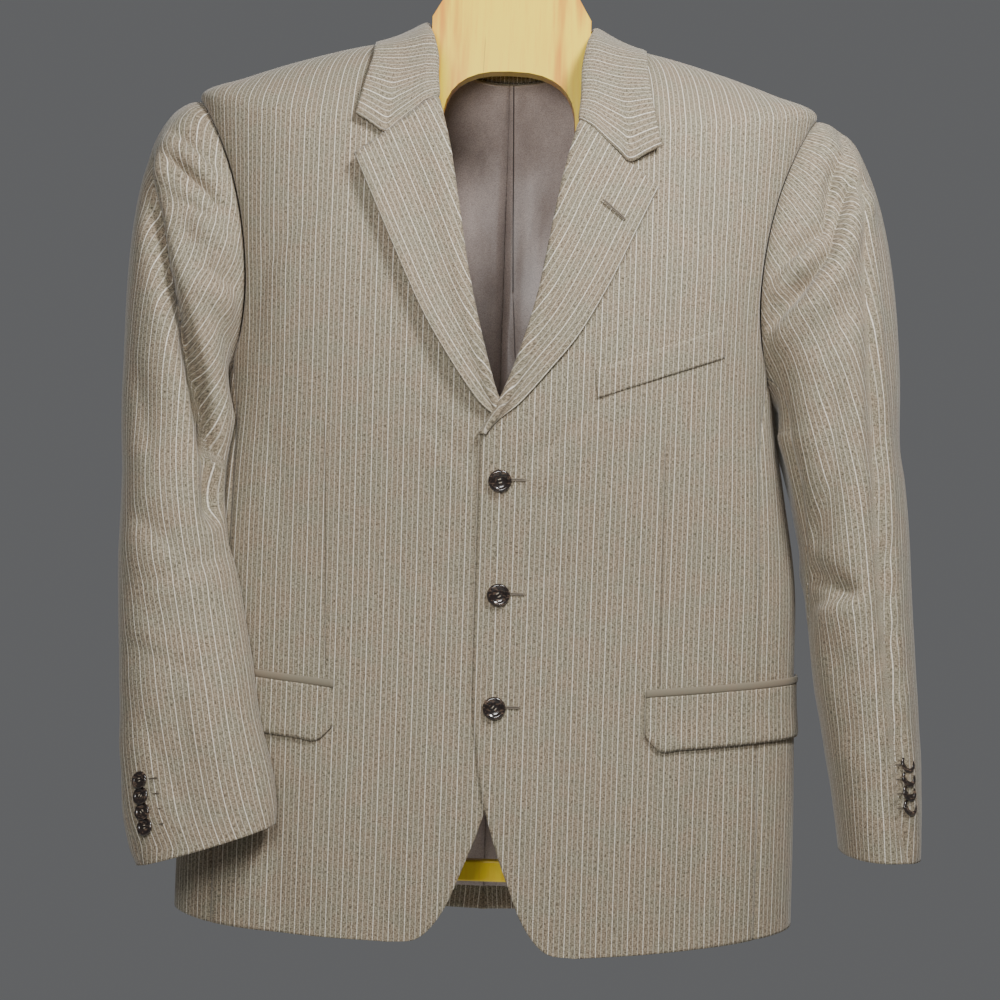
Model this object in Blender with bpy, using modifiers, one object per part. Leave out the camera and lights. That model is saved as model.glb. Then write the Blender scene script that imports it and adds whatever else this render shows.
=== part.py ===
"""A three-button blazer hanging on a wooden torso-form hanger, each cut piece as its own solid.

Tables and sizes are in millimetres. Heights are measured up from the front hem, x runs to the
wearer's left (the right of a front view) and y runs back. The origin is the seat of the hook.
"""

import math

import bmesh
import bpy
import numpy as np
from mathutils import Matrix, Vector

MM = 0.001
HOOK_HEIGHT = 880.0  # the hook's seat above the front hem

BODY_WALL = 2.0
SLEEVE_WALL = 1.8
LAPEL_WALL = 2.0
COLLAR_WALL = 2.2
FLAP_WALL = 2.2
TRIM_WALL = 1.5
LINING_WALL = 1.0
LAYER_GAP = 0.5
SEAM_TURN = 0.1  # degrees a body seam keeps clear on each side
CENTRE_TURN = 0.015  # the same at the centre back, where a degree is far wider
SLEEVE_SEAM_TURN = 0.25
SEAM_RISE = 0.5  # the same for seams that run across the cloth
ARMHOLE_GAP = 0.6

LEFT = 1  # the wearer's left, at +x, whose front laps over
RIGHT = -1
SIDES = {"left": LEFT, "right": RIGHT}

# The body as rings. Above the underarm a ring's sides climb the shoulder while its front stays low.
TORSO = np.array((
    # level, half width, side height, front depth, front height, back depth, back height, squareness
    (-20, 262, -20, 87, -20, 84, -20, 2.30),
    (0, 262, 0, 86, 0, 82, 0, 2.30),
    (110, 261, 110, 82, 110, 74, 110, 2.30),
    (225, 258, 225, 79, 225, 68, 225, 2.30),
    (310, 256, 310, 84, 310, 72, 310, 2.30),
    (390, 243, 390, 97, 390, 88, 389, 2.30),
    (450, 233, 450, 107, 446, 100, 445, 2.30),
    (520, 234, 520, 113, 508, 108, 508, 2.30),
    (590, 242, 590, 112, 568, 112, 572, 2.30),
    (650, 252, 652, 106, 618, 110, 628, 2.25),
    (700, 261, 697, 99, 656, 103, 668, 2.20),
    (720, 262, 709, 96, 668, 99, 682, 2.18),
    (760, 226, 724, 88, 686, 91, 702, 2.15),
    (800, 180, 740, 78, 702, 82, 718, 2.12),
    (840, 130, 754, 67, 716, 74, 732, 2.10),
    (880, 76, 765, 55, 730, 68, 744, 2.10),
))
HEM_LEVEL = np.array(((-60, 0), (12, 0), (27, 4), (63, 15), (90, 20), (119, 18), (180, 6)), float)
NECK_LEVEL = 880.0

# The armhole is an oval on those rings, 0 at its top, 90 in front, 180 at the underarm.
ARMHOLE_MIDDLE = 586.0
ARMHOLE_HALF = 129.0
ARMHOLE_FRONT_REACH = 28.5
ARMHOLE_BACK_REACH = 24.0
UPPER_ANGLES = np.linspace(145, -130, 18)  # the top sleeve's share, front to back
UNDER_ANGLES = np.linspace(145, 230, 6)
SHOULDER_INDEX = 10  # where the shoulder seam meets the armhole

# The side panel's two seams: level, then degrees round from the centre front.
FRONT_SEAM = np.array(((-20, 57.5), (330, 58.5), (410, 64), (480.3, 73.65)))
BACK_SEAM = np.array(((-20, 119), (330, 117), (420, 112), (503.1, 108.4)))
SEAM_STEPS = np.array((0, 0.04, 0.09, 0.16, 0.24, 0.33, 0.43, 0.55, 0.67, 0.79, 0.88, 0.94, 1))

# The free edge of a front: hem corner, buttoned edge, then the lapel's roll line to the neck.
FRONT_EDGE = np.array((
    # x, height: the first rows pair with SEAM_STEPS, the rest with the armhole
    (76, 0), (52, 4), (33, 26), (18, 62), (4, 102), (-7, 150), (-13, 202),
    (-14, 250), (-14, 296), (-14, 342), (-14, 389), (-13, 426), (-2, 444),
    (7, 463), (20, 503), (32, 550), (41, 600), (50, 648), (61, 691), (64.5, 712), (67.5, 733),
    (71, 752),
))  # fmt: skip
FRONT_COLUMNS = np.array((0, 0.045, 0.11, 0.19, 0.28, 0.38, 0.49, 0.6, 0.71, 0.82, 0.92, 1))
BACK_CENTRE = np.array((
    6, 28, 56, 92, 135, 185, 240, 305, 368, 425, 468, 495, 520, 575, 630, 685, 740, 790, 840, 880,
))  # fmt: skip
BACK_COLUMNS = np.array((0, 0.08, 0.16, 0.24, 0.32, 0.4, 0.55, 0.7, 0.85, 1))
BACK_NECK_STEPS = 5  # this many steps of the back's top are neck edge, the rest shoulder seam

RIGHT_FRONT_RISE = 9.0  # the under front hangs a little higher at its corner
COLLAR_LEAN = 9.0  # the collar and lapels sit lower on the wearer's left by twice this
LAP_RISE = BODY_WALL + LAYER_GAP
LAP_REACH = (17.0, 44.0)  # the lapping front lies over the other up to here, then comes down

# The lapel's outer edge, by share of the way up its roll line.
LAPEL_FOOT = 426.0
LAPEL_HEAD = 691.0
LAPEL_EDGE = np.array((
    # share, x, height
    (0.00, -6, 434),
    (0.12, 15, 451),
    (0.30, 39, 481),
    (0.50, 66, 521),
    (0.75, 95, 580),
    (1.00, 122, 639),
))
LAPEL_ROWS = {LEFT: slice(11, 19), RIGHT: slice(13, 19)}  # the rows of FRONT_EDGE it folds over
LAPEL_COLUMNS = np.array((0.12, 0.3, 0.48, 0.66, 0.84, 1))
EDGE_LIFT = {LEFT: 2.5, RIGHT: 9.0}  # how far the lapel's outer edge stands off the chest
ROLL_LIFT = 3.0
FOLD_FOOT_RISE = 1.5  # a flat fold starts this far above the panel's inner face

# The collar from its front end round to the centre back.
COLLAR_FRONT = np.array((
    # edge x, edge height, stand, notch bend: the last rows of FRONT_EDGE
    (123, 671, 0.5, 1.0),
    (117, 703, 2, 0.3),
    (113.5, 726, 5, 0.0),
    (113, 746, 9, 0.0),
))
COLLAR_BACK = np.array((
    # neck turn, edge turn, edge level, stand
    (96, 93, 852, 14),
    (128, 129, 855, 22),
    (162, 162, 858, 29),
    (180, 180, 858, 31),
))
COLLAR_COLUMNS = np.array((0.12, 0.3, 0.48, 0.62, 0.82, 1))
NOTCH_SHARE = 0.62
NOTCH_DROP = 20.6
COLLAR_LIFT = 2.2
COLLAR_EDGE_LIFT = {LEFT: 7.0, RIGHT: 6.5}

# A sleeve below the armhole, as level rings: the photo's two sleeves hang differently.
BICEP_HEIGHT = 430.0
SLEEVES = {
    RIGHT: np.array((
        # height, middle out from the centre, middle back, half width, half depth, slope outward
        (430, 264, -12, 53, 74, 0.00),
        (391, 267, -20, 47, 74, 0.00),
        (355, 267, -28, 46, 70, 0.00),
        (315, 262.5, -38, 49.5, 63, -0.02),
        (232, 251.5, -60, 53.5, 52, -0.10),
        (165, 243, -74, 56, 44, -0.20),
        (110, 232.5, -84, 59.5, 36, -0.30),
        (85, 226.7, -88, 54.7, 36, -0.33),
    )),
    LEFT: np.array((
        (430, 287, -12, 51, 76, 0.00),
        (391, 296, -17, 47.5, 72, 0.00),
        (355, 302, -22, 44.5, 68, 0.00),
        (305, 307, -30, 42, 65, 0.00),
        (229, 314.5, -40, 39.7, 62, 0.00),
        (162, 323, -46, 35.5, 60, 0.00),
        (110, 328, -49, 32, 59, 0.00),
        (90, 329.4, -50, 30.6, 59, 0.00),
    )),
}
SLEEVE_CUFF_FORE = 245.0  # where the two seams end at the cuff
SLEEVE_CUFF_HIND = 390.0
CAP_STEPS = np.array((0, 0.07, 0.15, 0.25, 0.36, 0.49, 0.64, 0.81, 1))
SLEEVE_STEPS = np.array((0.09, 0.18, 0.27, 0.37, 0.48, 0.6, 0.73, 0.86, 0.95, 1))
SLEEVE_FOLDS = {
    RIGHT: (
        # start height, start angle, end height, end angle, half width, depth
        (640, 44, 400, 132, 17, 11),
        (590, 62, 380, 146, 20, -5),
        (300, 150, 250, 60, 16, 3),
    ),
    LEFT: (
        (565, 140, 655, 35, 15, 6),
        (545, 60, 100, 84, 13, 4),
        (312, 175, 300, 110, 14, 5),
    ),
}
BODY_CLEARANCE = 9.0  # room for a pocket flap and the sleeve's own wall

# Pockets, on the front's surface. The flap runs back round the side.
FLAP_START_X = 128.0
FLAP_END_TURN = 91.0
FLAP_TOP = 214.5
FLAP_SLOPE = 0.085
FLAP_DEPTH = 45.0
FLAP_CORNER = 13.0
JET_HEIGHT = 5.5
POCKET_LIFT = 1.0
WELT_CORNERS = ((79, 458), (182.5, 495.5), (180.5, 519.5), (76, 481))

FRONT_BUTTONS = ((2.7, 389.5), (4.5, 296), (4.0, 202.5))
FRONT_BUTTON_RADIUS = 9.5
FRONT_BUTTON_HEIGHT = 3.4
CUFF_BUTTON_RADIUS = 7.2
CUFF_BUTTON_HEIGHT = 2.4
CUFF_BUTTON_TILT = 14.0
CUFF_BUTTONS = {
    # side: first height, spacing, angle round the sleeve, stand-off from its inner face
    RIGHT: (147.0, 11.5, 52.0, 3.3),
    LEFT: (170.0, 11.5, 66.0, 2.5),
}

# The hanger: neck board with an arch, two shoulder arms, two rails, a bottom bar and the hook.
BOARD_HALF_THICKNESS = 10.0
BOARD_TOP = 806.0
BOARD_TOP_HALF = 55.0
BOARD_SHOULDER = (67.8, 784.0)
BOARD_FOOT = (60.0, 690.0)
LEG_HALF = 75.0
LEG_TOP = 741.0
ARCH_HALF = 57.0
ARCH_TOP = 739.0
ARCH_SQUARENESS = 2.6
ARM_LEVELS = np.linspace(746, 880, 9)
ARM_TURNS = np.linspace(84, 101, 5)
ARM_DEPTH = 12.0
ARM_CLEARANCE = (2.2, 6.0)  # under the cloth, at the shoulder's end and by the neck
RAIL_X = 150.0
RAIL_HALF = (9.0, 6.0)
BAR_HEIGHTS = (46.0, 64.0)
WIRE_RADIUS = 2.5
HOOK_RADIUS = 24.0
HOOK_NECK = 54.0

FINISHES = {
    # colour as the eye sees it, roughness, metallic
    "wool": ((166, 160, 147), 0.9, 0.0),
    "lining": ((145, 137, 127), 0.45, 0.0),
    "horn": ((44, 36, 31), 0.25, 0.0),
    "wood": ((247, 225, 140), 0.4, 0.0),
    "steel": ((200, 200, 200), 0.3, 1.0),
}


def through(knots, values, at):
    """Smooth curve through a table: cubic spans whose slopes follow the neighbouring rows."""
    knots = np.asarray(knots, float)
    values = np.asarray(values, float)
    slopes = np.gradient(values, knots, axis=0)
    at = np.clip(np.asarray(at, float), knots[0], knots[-1])
    i = np.clip(np.searchsorted(knots, at, side="right") - 1, 0, len(knots) - 2)
    span = knots[i + 1] - knots[i]
    u = (at - knots[i]) / span
    if values.ndim > 1:
        span, u = span[..., None], u[..., None]
    return (
        values[i] * (1 + 2 * u) * (1 - u) ** 2
        + values[i + 1] * u * u * (3 - 2 * u)
        + slopes[i] * span * u * (1 - u) ** 2
        + slopes[i + 1] * span * u * u * (u - 1)
    )


def smooth(value, low, high):
    """0 below low, 1 above high, and an S between."""
    u = np.clip((value - low) / (high - low), 0, 1)
    return u * u * (3 - 2 * u)


def unit(vectors):
    return vectors / np.linalg.norm(vectors, axis=-1, keepdims=True)


def torso(turn, level):
    """Point of the body's inner surface. turn: 0 centre front, 90 the side, 180 centre back."""
    row = through(TORSO[:, 0], TORSO[:, 1:], level)
    half, side_h, front_d, front_h, back_d, back_h, square = np.moveaxis(row, -1, 0)
    cosine, sine = np.cos(np.radians(turn)), np.sin(np.radians(turn))
    across = np.sign(sine) * np.abs(sine) ** (2 / square)
    along = np.sign(cosine) * np.abs(cosine) ** (2 / square)
    depth = np.where(cosine >= 0, front_d, back_d)
    low = np.where(cosine >= 0, front_h, back_h)
    return np.stack([half * across, -depth * along, low + (side_h - low) * across**2], -1)


def torso_normal(place):
    """Outward direction of the body's surface at each (turn, level)."""
    turn, level = place[..., 0], place[..., 1]
    around = torso(turn + 0.5, level) - torso(turn - 0.5, level)
    upward = torso(turn, level + 0.5) - torso(turn, level - 0.5)
    return unit(np.cross(around, upward))


def skin(place, out=0.0):
    """Body surface points at (turn, level), moved out along the surface's normal."""
    out = np.asarray(out, float)[..., None]
    return torso(place[..., 0], place[..., 1]) + out * torso_normal(place)


def on_front(x, height):
    """(turn, level) of the front point with this x and height, found by halving."""
    x, height = np.broadcast_arrays(np.asarray(x, float), np.asarray(height, float))
    low = np.full(x.shape, TORSO[0, 0])
    high = np.full(x.shape, NECK_LEVEL)
    for _ in range(40):
        level = (low + high) / 2
        row = through(TORSO[:, 0], TORSO[:, 1:], level)
        share = np.clip(np.abs(x) / row[..., 0], 0, 1)
        reached = row[..., 3] + (row[..., 1] - row[..., 3]) * share**2
        low = np.where(reached < height, level, low)
        high = np.where(reached < height, high, level)
    turn = np.degrees(np.arcsin(share ** (row[..., 6] / 2))) * np.sign(x)
    return np.stack([turn, level], -1)


def armhole(angle, grow=0.0):
    """(turn, level) round the armhole oval, grown by some millimetres."""
    sine = np.sin(np.radians(angle))
    reach = np.where(sine > 0, ARMHOLE_FRONT_REACH, ARMHOLE_BACK_REACH) + grow * 0.45
    level = ARMHOLE_MIDDLE + (ARMHOLE_HALF + grow) * np.cos(np.radians(angle))
    return np.stack([90 - reach * sine, level], -1)


SHOULDER_TURN = float(armhole(UPPER_ANGLES[SHOULDER_INDEX])[0])


def lean(side, height):
    """How much lower the collar and lapels sit on this side at a height."""
    share = smooth(height, 440, 560) * (1 - smooth(height, 700, 755))
    return -COLLAR_LEAN * side * share


def front_edge(side):
    """(x, height) down the free edge of a front, each row in its place."""
    x, height = FRONT_EDGE.T.astype(float)
    height = height + lean(side, height)
    if side == RIGHT:
        height = height + RIGHT_FRONT_RISE * (1 - smooth(height, 0, 260))
    return np.stack([x, height], -1)


def lap_rise(side, x, height):
    """The lapping front stands off by one layer of cloth near its edge, below the lapel."""
    if side == RIGHT:
        return np.zeros(np.shape(x))
    return LAP_RISE * (1 - smooth(x, *LAP_REACH)) * (1 - smooth(height, 462, 510))


def side_seam(seam, top, gap):
    """(turn, level) up a side seam from the hem to the armhole, moved round by gap degrees."""
    hem = np.interp(seam[0, 1], HEM_LEVEL[:, 0], HEM_LEVEL[:, 1])
    level = hem + (top - hem) * SEAM_STEPS
    return np.stack([np.interp(level, seam[:, 0], seam[:, 1]) + gap, level], -1)


def patch(inner, outer, columns, bottom, top):
    """(turn, level) grid between two edges, eased onto its bottom and top outlines."""
    share = columns[None, :, None]
    grid = inner[:, None] * (1 - share) + outer[:, None] * share
    rise = np.linspace(0, 1, len(inner))[:, None, None]
    return grid + (1 - rise) ** 3 * (bottom - grid[0]) + rise**3 * (top - grid[-1])


def hem_line(start, end, columns):
    turn = start + (end - start) * columns
    return np.stack([turn, np.interp(turn, HEM_LEVEL[:, 0], HEM_LEVEL[:, 1])], -1)


def front_places(side):
    edge = on_front(*front_edge(side).T)
    seam = side_seam(FRONT_SEAM, FRONT_SEAM[-1, 0], -SEAM_TURN)
    arm = armhole(UPPER_ANGLES[1 : SHOULDER_INDEX + 1], SEAM_RISE)
    shoulder = np.array(((SHOULDER_TURN - SEAM_TURN, NECK_LEVEL),))
    inner = np.concatenate([edge, shoulder])
    outer = np.concatenate([seam, arm])
    outer[-1, 0] -= SEAM_TURN
    bottom = hem_line(inner[0, 0], outer[0, 0], FRONT_COLUMNS)
    bottom[:, 1] += (inner[0, 1] - bottom[0, 1]) * (1 - FRONT_COLUMNS)
    top = inner[-1] * (1 - FRONT_COLUMNS[:, None]) + outer[-1] * FRONT_COLUMNS[:, None]
    return patch(inner, outer, FRONT_COLUMNS, bottom, top)


def back_places():
    inner = np.stack([np.full(len(BACK_CENTRE), 180 - CENTRE_TURN), BACK_CENTRE], -1)
    seam = side_seam(BACK_SEAM, BACK_SEAM[-1, 0], SEAM_TURN)
    arm = armhole(UPPER_ANGLES[:SHOULDER_INDEX - 1 : -1], SEAM_RISE)
    outer = np.concatenate([seam, arm[1:]])
    outer[-1, 0] += SEAM_TURN
    bottom = hem_line(inner[0, 0], outer[0, 0], BACK_COLUMNS)
    neck_share = BACK_COLUMNS[BACK_NECK_STEPS]
    neck = np.clip(BACK_COLUMNS / neck_share, 0, 1)
    shoulder = np.clip((BACK_COLUMNS - neck_share) / (1 - neck_share), 0, 1)
    top = np.stack([
        inner[-1, 0] + (outer[-1, 0] - inner[-1, 0]) * neck,
        NECK_LEVEL + (outer[-1, 1] - NECK_LEVEL) * shoulder,
    ], -1)  # fmt: skip
    return patch(inner, outer, BACK_COLUMNS, bottom, top)


def side_places():
    front = side_seam(FRONT_SEAM, FRONT_SEAM[-1, 0], SEAM_TURN)
    back = side_seam(BACK_SEAM, BACK_SEAM[-1, 0], -SEAM_TURN)
    columns = np.linspace(0, 1, len(UNDER_ANGLES))
    top = armhole(UNDER_ANGLES, SEAM_RISE)
    top[0, 0] += SEAM_TURN
    top[-1, 0] -= SEAM_TURN
    front[-1], back[-1] = top[0], top[-1]
    return patch(front, back, columns, hem_line(front[0, 0], back[0, 0], columns), top)


def turned_over(neck, away, normal, stand):
    """The three columns that carry a fold round the body's edge, from beneath it to above."""
    stand = np.asarray(stand, float)[:, None]
    foot_rise = np.maximum(FOLD_FOOT_RISE - 0.3 * stand, 0)
    return [
        neck + away * 0.6 + normal * foot_rise,
        neck + away * (stand * 0.5 + 1.7) + normal * 1.4,
        neck + away * (stand + 1.2) + normal * 3.4,
    ]


def fold_lift(share, edge_lift):
    """Stand-off of a turned-over layer: a soft roll by its fold, then out to its free edge."""
    return LAYER_GAP + ROLL_LIFT * np.exp(-(((share - 0.14) / 0.2) ** 2)) + edge_lift * share**2


def away_from_panel(edge_points, normals):
    """Direction in the surface, square to the edge and off the panel."""
    return unit(np.cross(normals, unit(np.gradient(edge_points, axis=0))))


def lapel_grid(side):
    """From the roll line out to the free edge: a fold round the front's edge, then the fall."""
    roll_x, roll_h = front_edge(side)[LAPEL_ROWS[side]].T
    roll_h[-1] -= SEAM_RISE
    share = (FRONT_EDGE[LAPEL_ROWS[side], 1] - LAPEL_FOOT) / (LAPEL_HEAD - LAPEL_FOOT)
    edge = through(LAPEL_EDGE[:, 0], LAPEL_EDGE[:, 1:], share)
    edge_h = edge[:, 1] + lean(side, edge[:, 1])
    edge_h[-1] -= SEAM_RISE
    neck_place = on_front(roll_x, roll_h)
    neck = skin(neck_place, lap_rise(side, roll_x, roll_h))
    normal = torso_normal(neck_place)
    columns = turned_over(neck, away_from_panel(neck, normal), normal, np.zeros(len(share)))
    for u in LAPEL_COLUMNS:
        x = roll_x + (edge[:, 0] - roll_x) * u
        h = roll_h + (edge_h - roll_h) * u
        width = smooth(share, -0.1, 0.3)
        out = BODY_WALL + lap_rise(side, x, h) + fold_lift(u, EDGE_LIFT[side] * width)
        columns.append(skin(on_front(x, h), out))
    return np.stack(columns, 1)


def collar_half(side):
    """The collar from its notch to the centre back, as rows of foot, fold and fall."""
    edge_x, edge_h, stand, bend = COLLAR_FRONT.T
    edge_h = edge_h + lean(side, edge_h)
    neck_x, neck_h = front_edge(side)[-len(COLLAR_FRONT) :].T
    neck_h[0] += SEAM_RISE
    back_turn = 180 + (SHOULDER_TURN - 180) * np.linspace(1, 0, BACK_NECK_STEPS + 1)
    edge_turn, edge_level, back_stand = through(COLLAR_BACK[:, 0], COLLAR_BACK[:, 1:], back_turn).T
    back_neck = np.stack([back_turn, np.full(len(back_turn), NECK_LEVEL)], -1)
    back_edge = np.stack([edge_turn, edge_level], -1)
    neck_place = np.concatenate([on_front(neck_x, neck_h), back_neck])
    stand = np.concatenate([stand, back_stand])
    neck = skin(neck_place)
    normal = torso_normal(neck_place)
    radial = unit(normal * (1, 1, 0))
    mix = smooth(stand, 1, 14)[:, None]
    tangent = away_from_panel(neck, normal)
    away = unit((1 - mix) * tangent + mix * (np.array((0, 0, 0.9)) - 0.38 * radial))
    fold_normal = unit((1 - mix) * normal + mix * (radial + (0, 0, 0.15)))
    columns = turned_over(neck - mix * radial * 0.6, away, fold_normal, stand)
    for u in COLLAR_COLUMNS:
        drop = NOTCH_DROP * np.minimum(u / NOTCH_SHARE, (1 - u) / (1 - NOTCH_SHARE))
        x = neck_x + (edge_x - neck_x) * u
        h = neck_h + (edge_h - neck_h) * u - drop * bend + SEAM_RISE * bend
        place = np.concatenate([on_front(x, h), back_neck * (1 - u) + back_edge * u])
        lift = fold_lift(u, COLLAR_EDGE_LIFT[side]) * (1 - mix[:, 0])
        out = BODY_WALL + lift + COLLAR_LIFT * mix[:, 0]
        rest = away * (stand * (1 - u) ** 1.6)[:, None]
        columns.append(skin(place, out) + rest)
    return np.stack(columns, 1)


def clear_of_body(points, gap):
    """Points inside the body's level ring, grown by gap, are walked out to it down the slope."""
    for _ in range(6):
        row = through(TORSO[:, 0], TORSO[:, 1:], points[..., 2])
        a = row[..., 0] + gap
        b = np.where(points[..., 1] < 0, row[..., 2], row[..., 4]) + gap
        n = row[..., 6]
        px, py = np.abs(points[..., 0]) / a, np.abs(points[..., 1]) / b
        reach = np.maximum((px**n + py**n) ** (1 / n), 1e-6)
        slope_x = np.sign(points[..., 0]) * (px / reach) ** (n - 1) / a
        slope_y = np.sign(points[..., 1]) * (py / reach) ** (n - 1) / b
        step = np.maximum(1 - reach, 0) / (slope_x**2 + slope_y**2)
        points = points + np.stack([slope_x * step, slope_y * step, 0 * step], -1)
    return points


def folds(side, height, angle):
    """Depth of the drawn folds at a height and an angle round the sleeve, positive inward."""
    radius = 58 * math.pi / 180
    depth = np.zeros(np.broadcast(height, angle).shape)
    for h0, a0, h1, a1, half_width, deep in SLEEVE_FOLDS[side]:
        run = np.array((h1 - h0, (a1 - a0) * radius))
        off = np.stack(np.broadcast_arrays(height - h0, (angle - a0) * radius), -1)
        share = off @ run / (run @ run)
        aside = off - np.clip(share, 0, 1)[..., None] * run
        ends = smooth(share, -0.1, 0.25) * (1 - smooth(share, 0.75, 1.1))
        depth += deep * ends * np.exp(-np.sum(aside**2, -1) / half_width**2)
    return depth


def sleeve_ring(side, height, angle):
    """A point of the sleeve below the armhole, on the ring with this height at its middle."""
    table = SLEEVES[side][::-1]
    middle_x, middle_y, half_w, half_d, slope = np.moveaxis(
        through(table[:, 0], table[:, 1:], height), -1, 0
    )
    cosine, sine = np.cos(np.radians(angle)), np.sin(np.radians(angle))
    out = half_w * np.sign(cosine) * np.abs(cosine) ** 0.92
    front = half_d * np.sign(sine) * np.abs(sine) ** 0.92
    return np.stack([middle_x + out, middle_y - front, height + slope * out + 0 * front], -1)


def sleeve_grid(side, top_angles, cuff_fore, cuff_hind):
    """Rows from the armhole to the cuff. Each seam drifts round from its top to its cuff angle."""
    gap = np.sign(top_angles[-1] - top_angles[0]) * SLEEVE_SEAM_TURN
    top_angles = np.concatenate([[top_angles[0] + gap], top_angles[1:-1], [top_angles[-1] - gap]])
    cuff_angles = np.linspace(cuff_fore + gap, cuff_hind - gap, len(top_angles))
    start_place = armhole(top_angles, -SLEEVE_WALL - ARMHOLE_GAP)
    start = skin(start_place, 0.3)
    end = sleeve_ring(side, BICEP_HEIGHT, top_angles)
    end = clear_of_body(end, BODY_CLEARANCE)
    reach = np.linalg.norm(end - start, axis=-1, keepdims=True)
    leave = torso_normal(start_place) * np.maximum(0.72 * reach, 30)
    arrive = np.array((0, 0, -0.85)) * np.maximum(reach, 30)
    rows = []
    for w in CAP_STEPS:
        point = (
            start * (1 + 2 * w) * (1 - w) ** 2
            + end * w * w * (3 - 2 * w)
            + leave * w * (1 - w) ** 2
            + arrive * w * w * (w - 1)
        )
        rows.append((point, np.broadcast_to(top_angles, point.shape[:1]), w))
    foot = SLEEVES[side][-1, 0]
    for w in SLEEVE_STEPS:
        angles = top_angles + (cuff_angles - top_angles) * smooth(w, 0, 1)
        height = BICEP_HEIGHT + (foot - BICEP_HEIGHT) * w
        rows.append((sleeve_ring(side, height, angles), angles, 1.0))
    grid = np.stack([row[0] for row in rows])
    angles = np.stack([row[1] for row in rows])
    share = np.array([row[2] for row in rows])[:, None]
    middle = grid.mean(axis=1, keepdims=True)
    inward = unit((middle - grid) * (1, 1, 0.3))
    depth = folds(side, grid[..., 2], angles) * smooth(share, 0, 0.25)
    grid = grid + inward * depth[..., None]
    cleared = clear_of_body(grid, BODY_CLEARANCE)
    return grid + (cleared - grid) * smooth(share, 0.1, 0.55)[..., None]


def flap_places(side, low_edge, high_edge):
    """A strip along the pocket: its two edges are given as height above the pocket's mouth."""
    start = float(on_front(FLAP_START_X, FLAP_TOP)[0])
    u = 0.5 - 0.5 * np.cos(np.linspace(0, math.pi, 13))
    u = 0.5 * u + 0.5 * np.linspace(0, 1, 13)
    turn = start + (FLAP_END_TURN - start) * u
    x = torso(turn, np.full(turn.shape, FLAP_TOP))[:, 0]
    mouth = FLAP_TOP + FLAP_SLOPE * (x - FLAP_START_X)
    rows = np.linspace(0, 1, 5 if high_edge == 0 else 2)[:, None]
    low, high = low_edge(x), np.full(x.shape, float(high_edge))
    level = mouth + low + (high - low) * rows
    return np.stack([np.broadcast_to(turn, level.shape), level], -1)


def flap_foot(x):
    """The flap's lower edge, its front corner rounded by a quarter circle."""
    into = np.clip(FLAP_CORNER - (x - FLAP_START_X), 0, FLAP_CORNER)
    return -FLAP_DEPTH + FLAP_CORNER - np.sqrt(FLAP_CORNER**2 - into**2)


def finish(name):
    """The shared material of one finish."""
    if name in bpy.data.materials:
        return bpy.data.materials[name]
    colour, roughness, metallic = FINISHES[name]
    material = bpy.data.materials.new(name)
    material.use_nodes = True
    surface = material.node_tree.nodes["Principled BSDF"]
    linear = [(c / 255) ** 2.2 for c in colour]
    surface.inputs["Base Color"].default_value = (*linear, 1)
    surface.inputs["Roughness"].default_value = roughness
    surface.inputs["Metallic"].default_value = metallic
    return material


def clear_scene():
    for old in list(bpy.data.objects):
        bpy.data.objects.remove(old, do_unlink=True)
    collection = bpy.data.collections.new("three_button_blazer")
    bpy.context.scene.collection.children.link(collection)
    return collection


def keep(name, data, material):
    """An object of this name in the blazer's collection, with its finish."""
    obj = bpy.data.objects.new(name, data)
    bpy.data.collections["three_button_blazer"].objects.link(obj)
    data.materials.append(finish(material))
    return obj


def place_points(grid):
    """Millimetres above the hem to metres from the hook's seat."""
    return (grid - (0, 0, HOOK_HEIGHT)) * MM


def add_sheet(name, grid, wall, material, offset=1.0):
    """A wall of cloth or wood: an open grid surface, thickened along its normals."""
    rows, columns = grid.shape[:2]
    index = np.arange(rows * columns).reshape(rows, columns)
    quads = np.stack([index[:-1, :-1], index[:-1, 1:], index[1:, 1:], index[1:, :-1]], -1)
    mesh = bpy.data.meshes.new(name)
    mesh.from_pydata(place_points(grid).reshape(-1, 3).tolist(), [], quads.reshape(-1, 4).tolist())
    mesh.shade_smooth()
    obj = keep(name, mesh, material)
    wall_modifier = obj.modifiers.new("wall", "SOLIDIFY")
    wall_modifier.thickness = wall * MM
    wall_modifier.offset = offset
    return obj


def on_side(side, grid):
    """A grid drawn for the wearer's left, mirrored when it is for the right."""
    return grid if side == LEFT else (grid * (-1, 1, 1))[:, ::-1]


def add_body(name, side):
    places = front_places(side)
    points = torso(places[..., 0], places[..., 1])
    rise = lap_rise(side, points[..., 0], points[..., 2])
    add_sheet(f"front_{name}", on_side(side, skin(places, rise)), BODY_WALL, "wool")
    add_sheet(f"side_{name}", on_side(side, skin(side_places())), BODY_WALL, "wool")
    back = back_places()[:, ::-1]
    add_sheet(f"back_{name}", on_side(side, skin(back)), BODY_WALL, "wool")
    lining = skin(back[1:, 1:], -LAYER_GAP - LINING_WALL)
    add_sheet(f"lining_{name}", on_side(side, lining), LINING_WALL, "lining")


def add_sleeve(name, side):
    upper = sleeve_grid(side, UPPER_ANGLES, SLEEVE_CUFF_FORE, SLEEVE_CUFF_HIND - 360)
    under = sleeve_grid(side, UNDER_ANGLES, SLEEVE_CUFF_FORE, SLEEVE_CUFF_HIND)
    add_sheet(f"sleeve_upper_{name}", on_side(side, upper[::-1]), SLEEVE_WALL, "wool")
    add_sheet(f"sleeve_under_{name}", on_side(side, under[::-1, ::-1]), SLEEVE_WALL, "wool")


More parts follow.
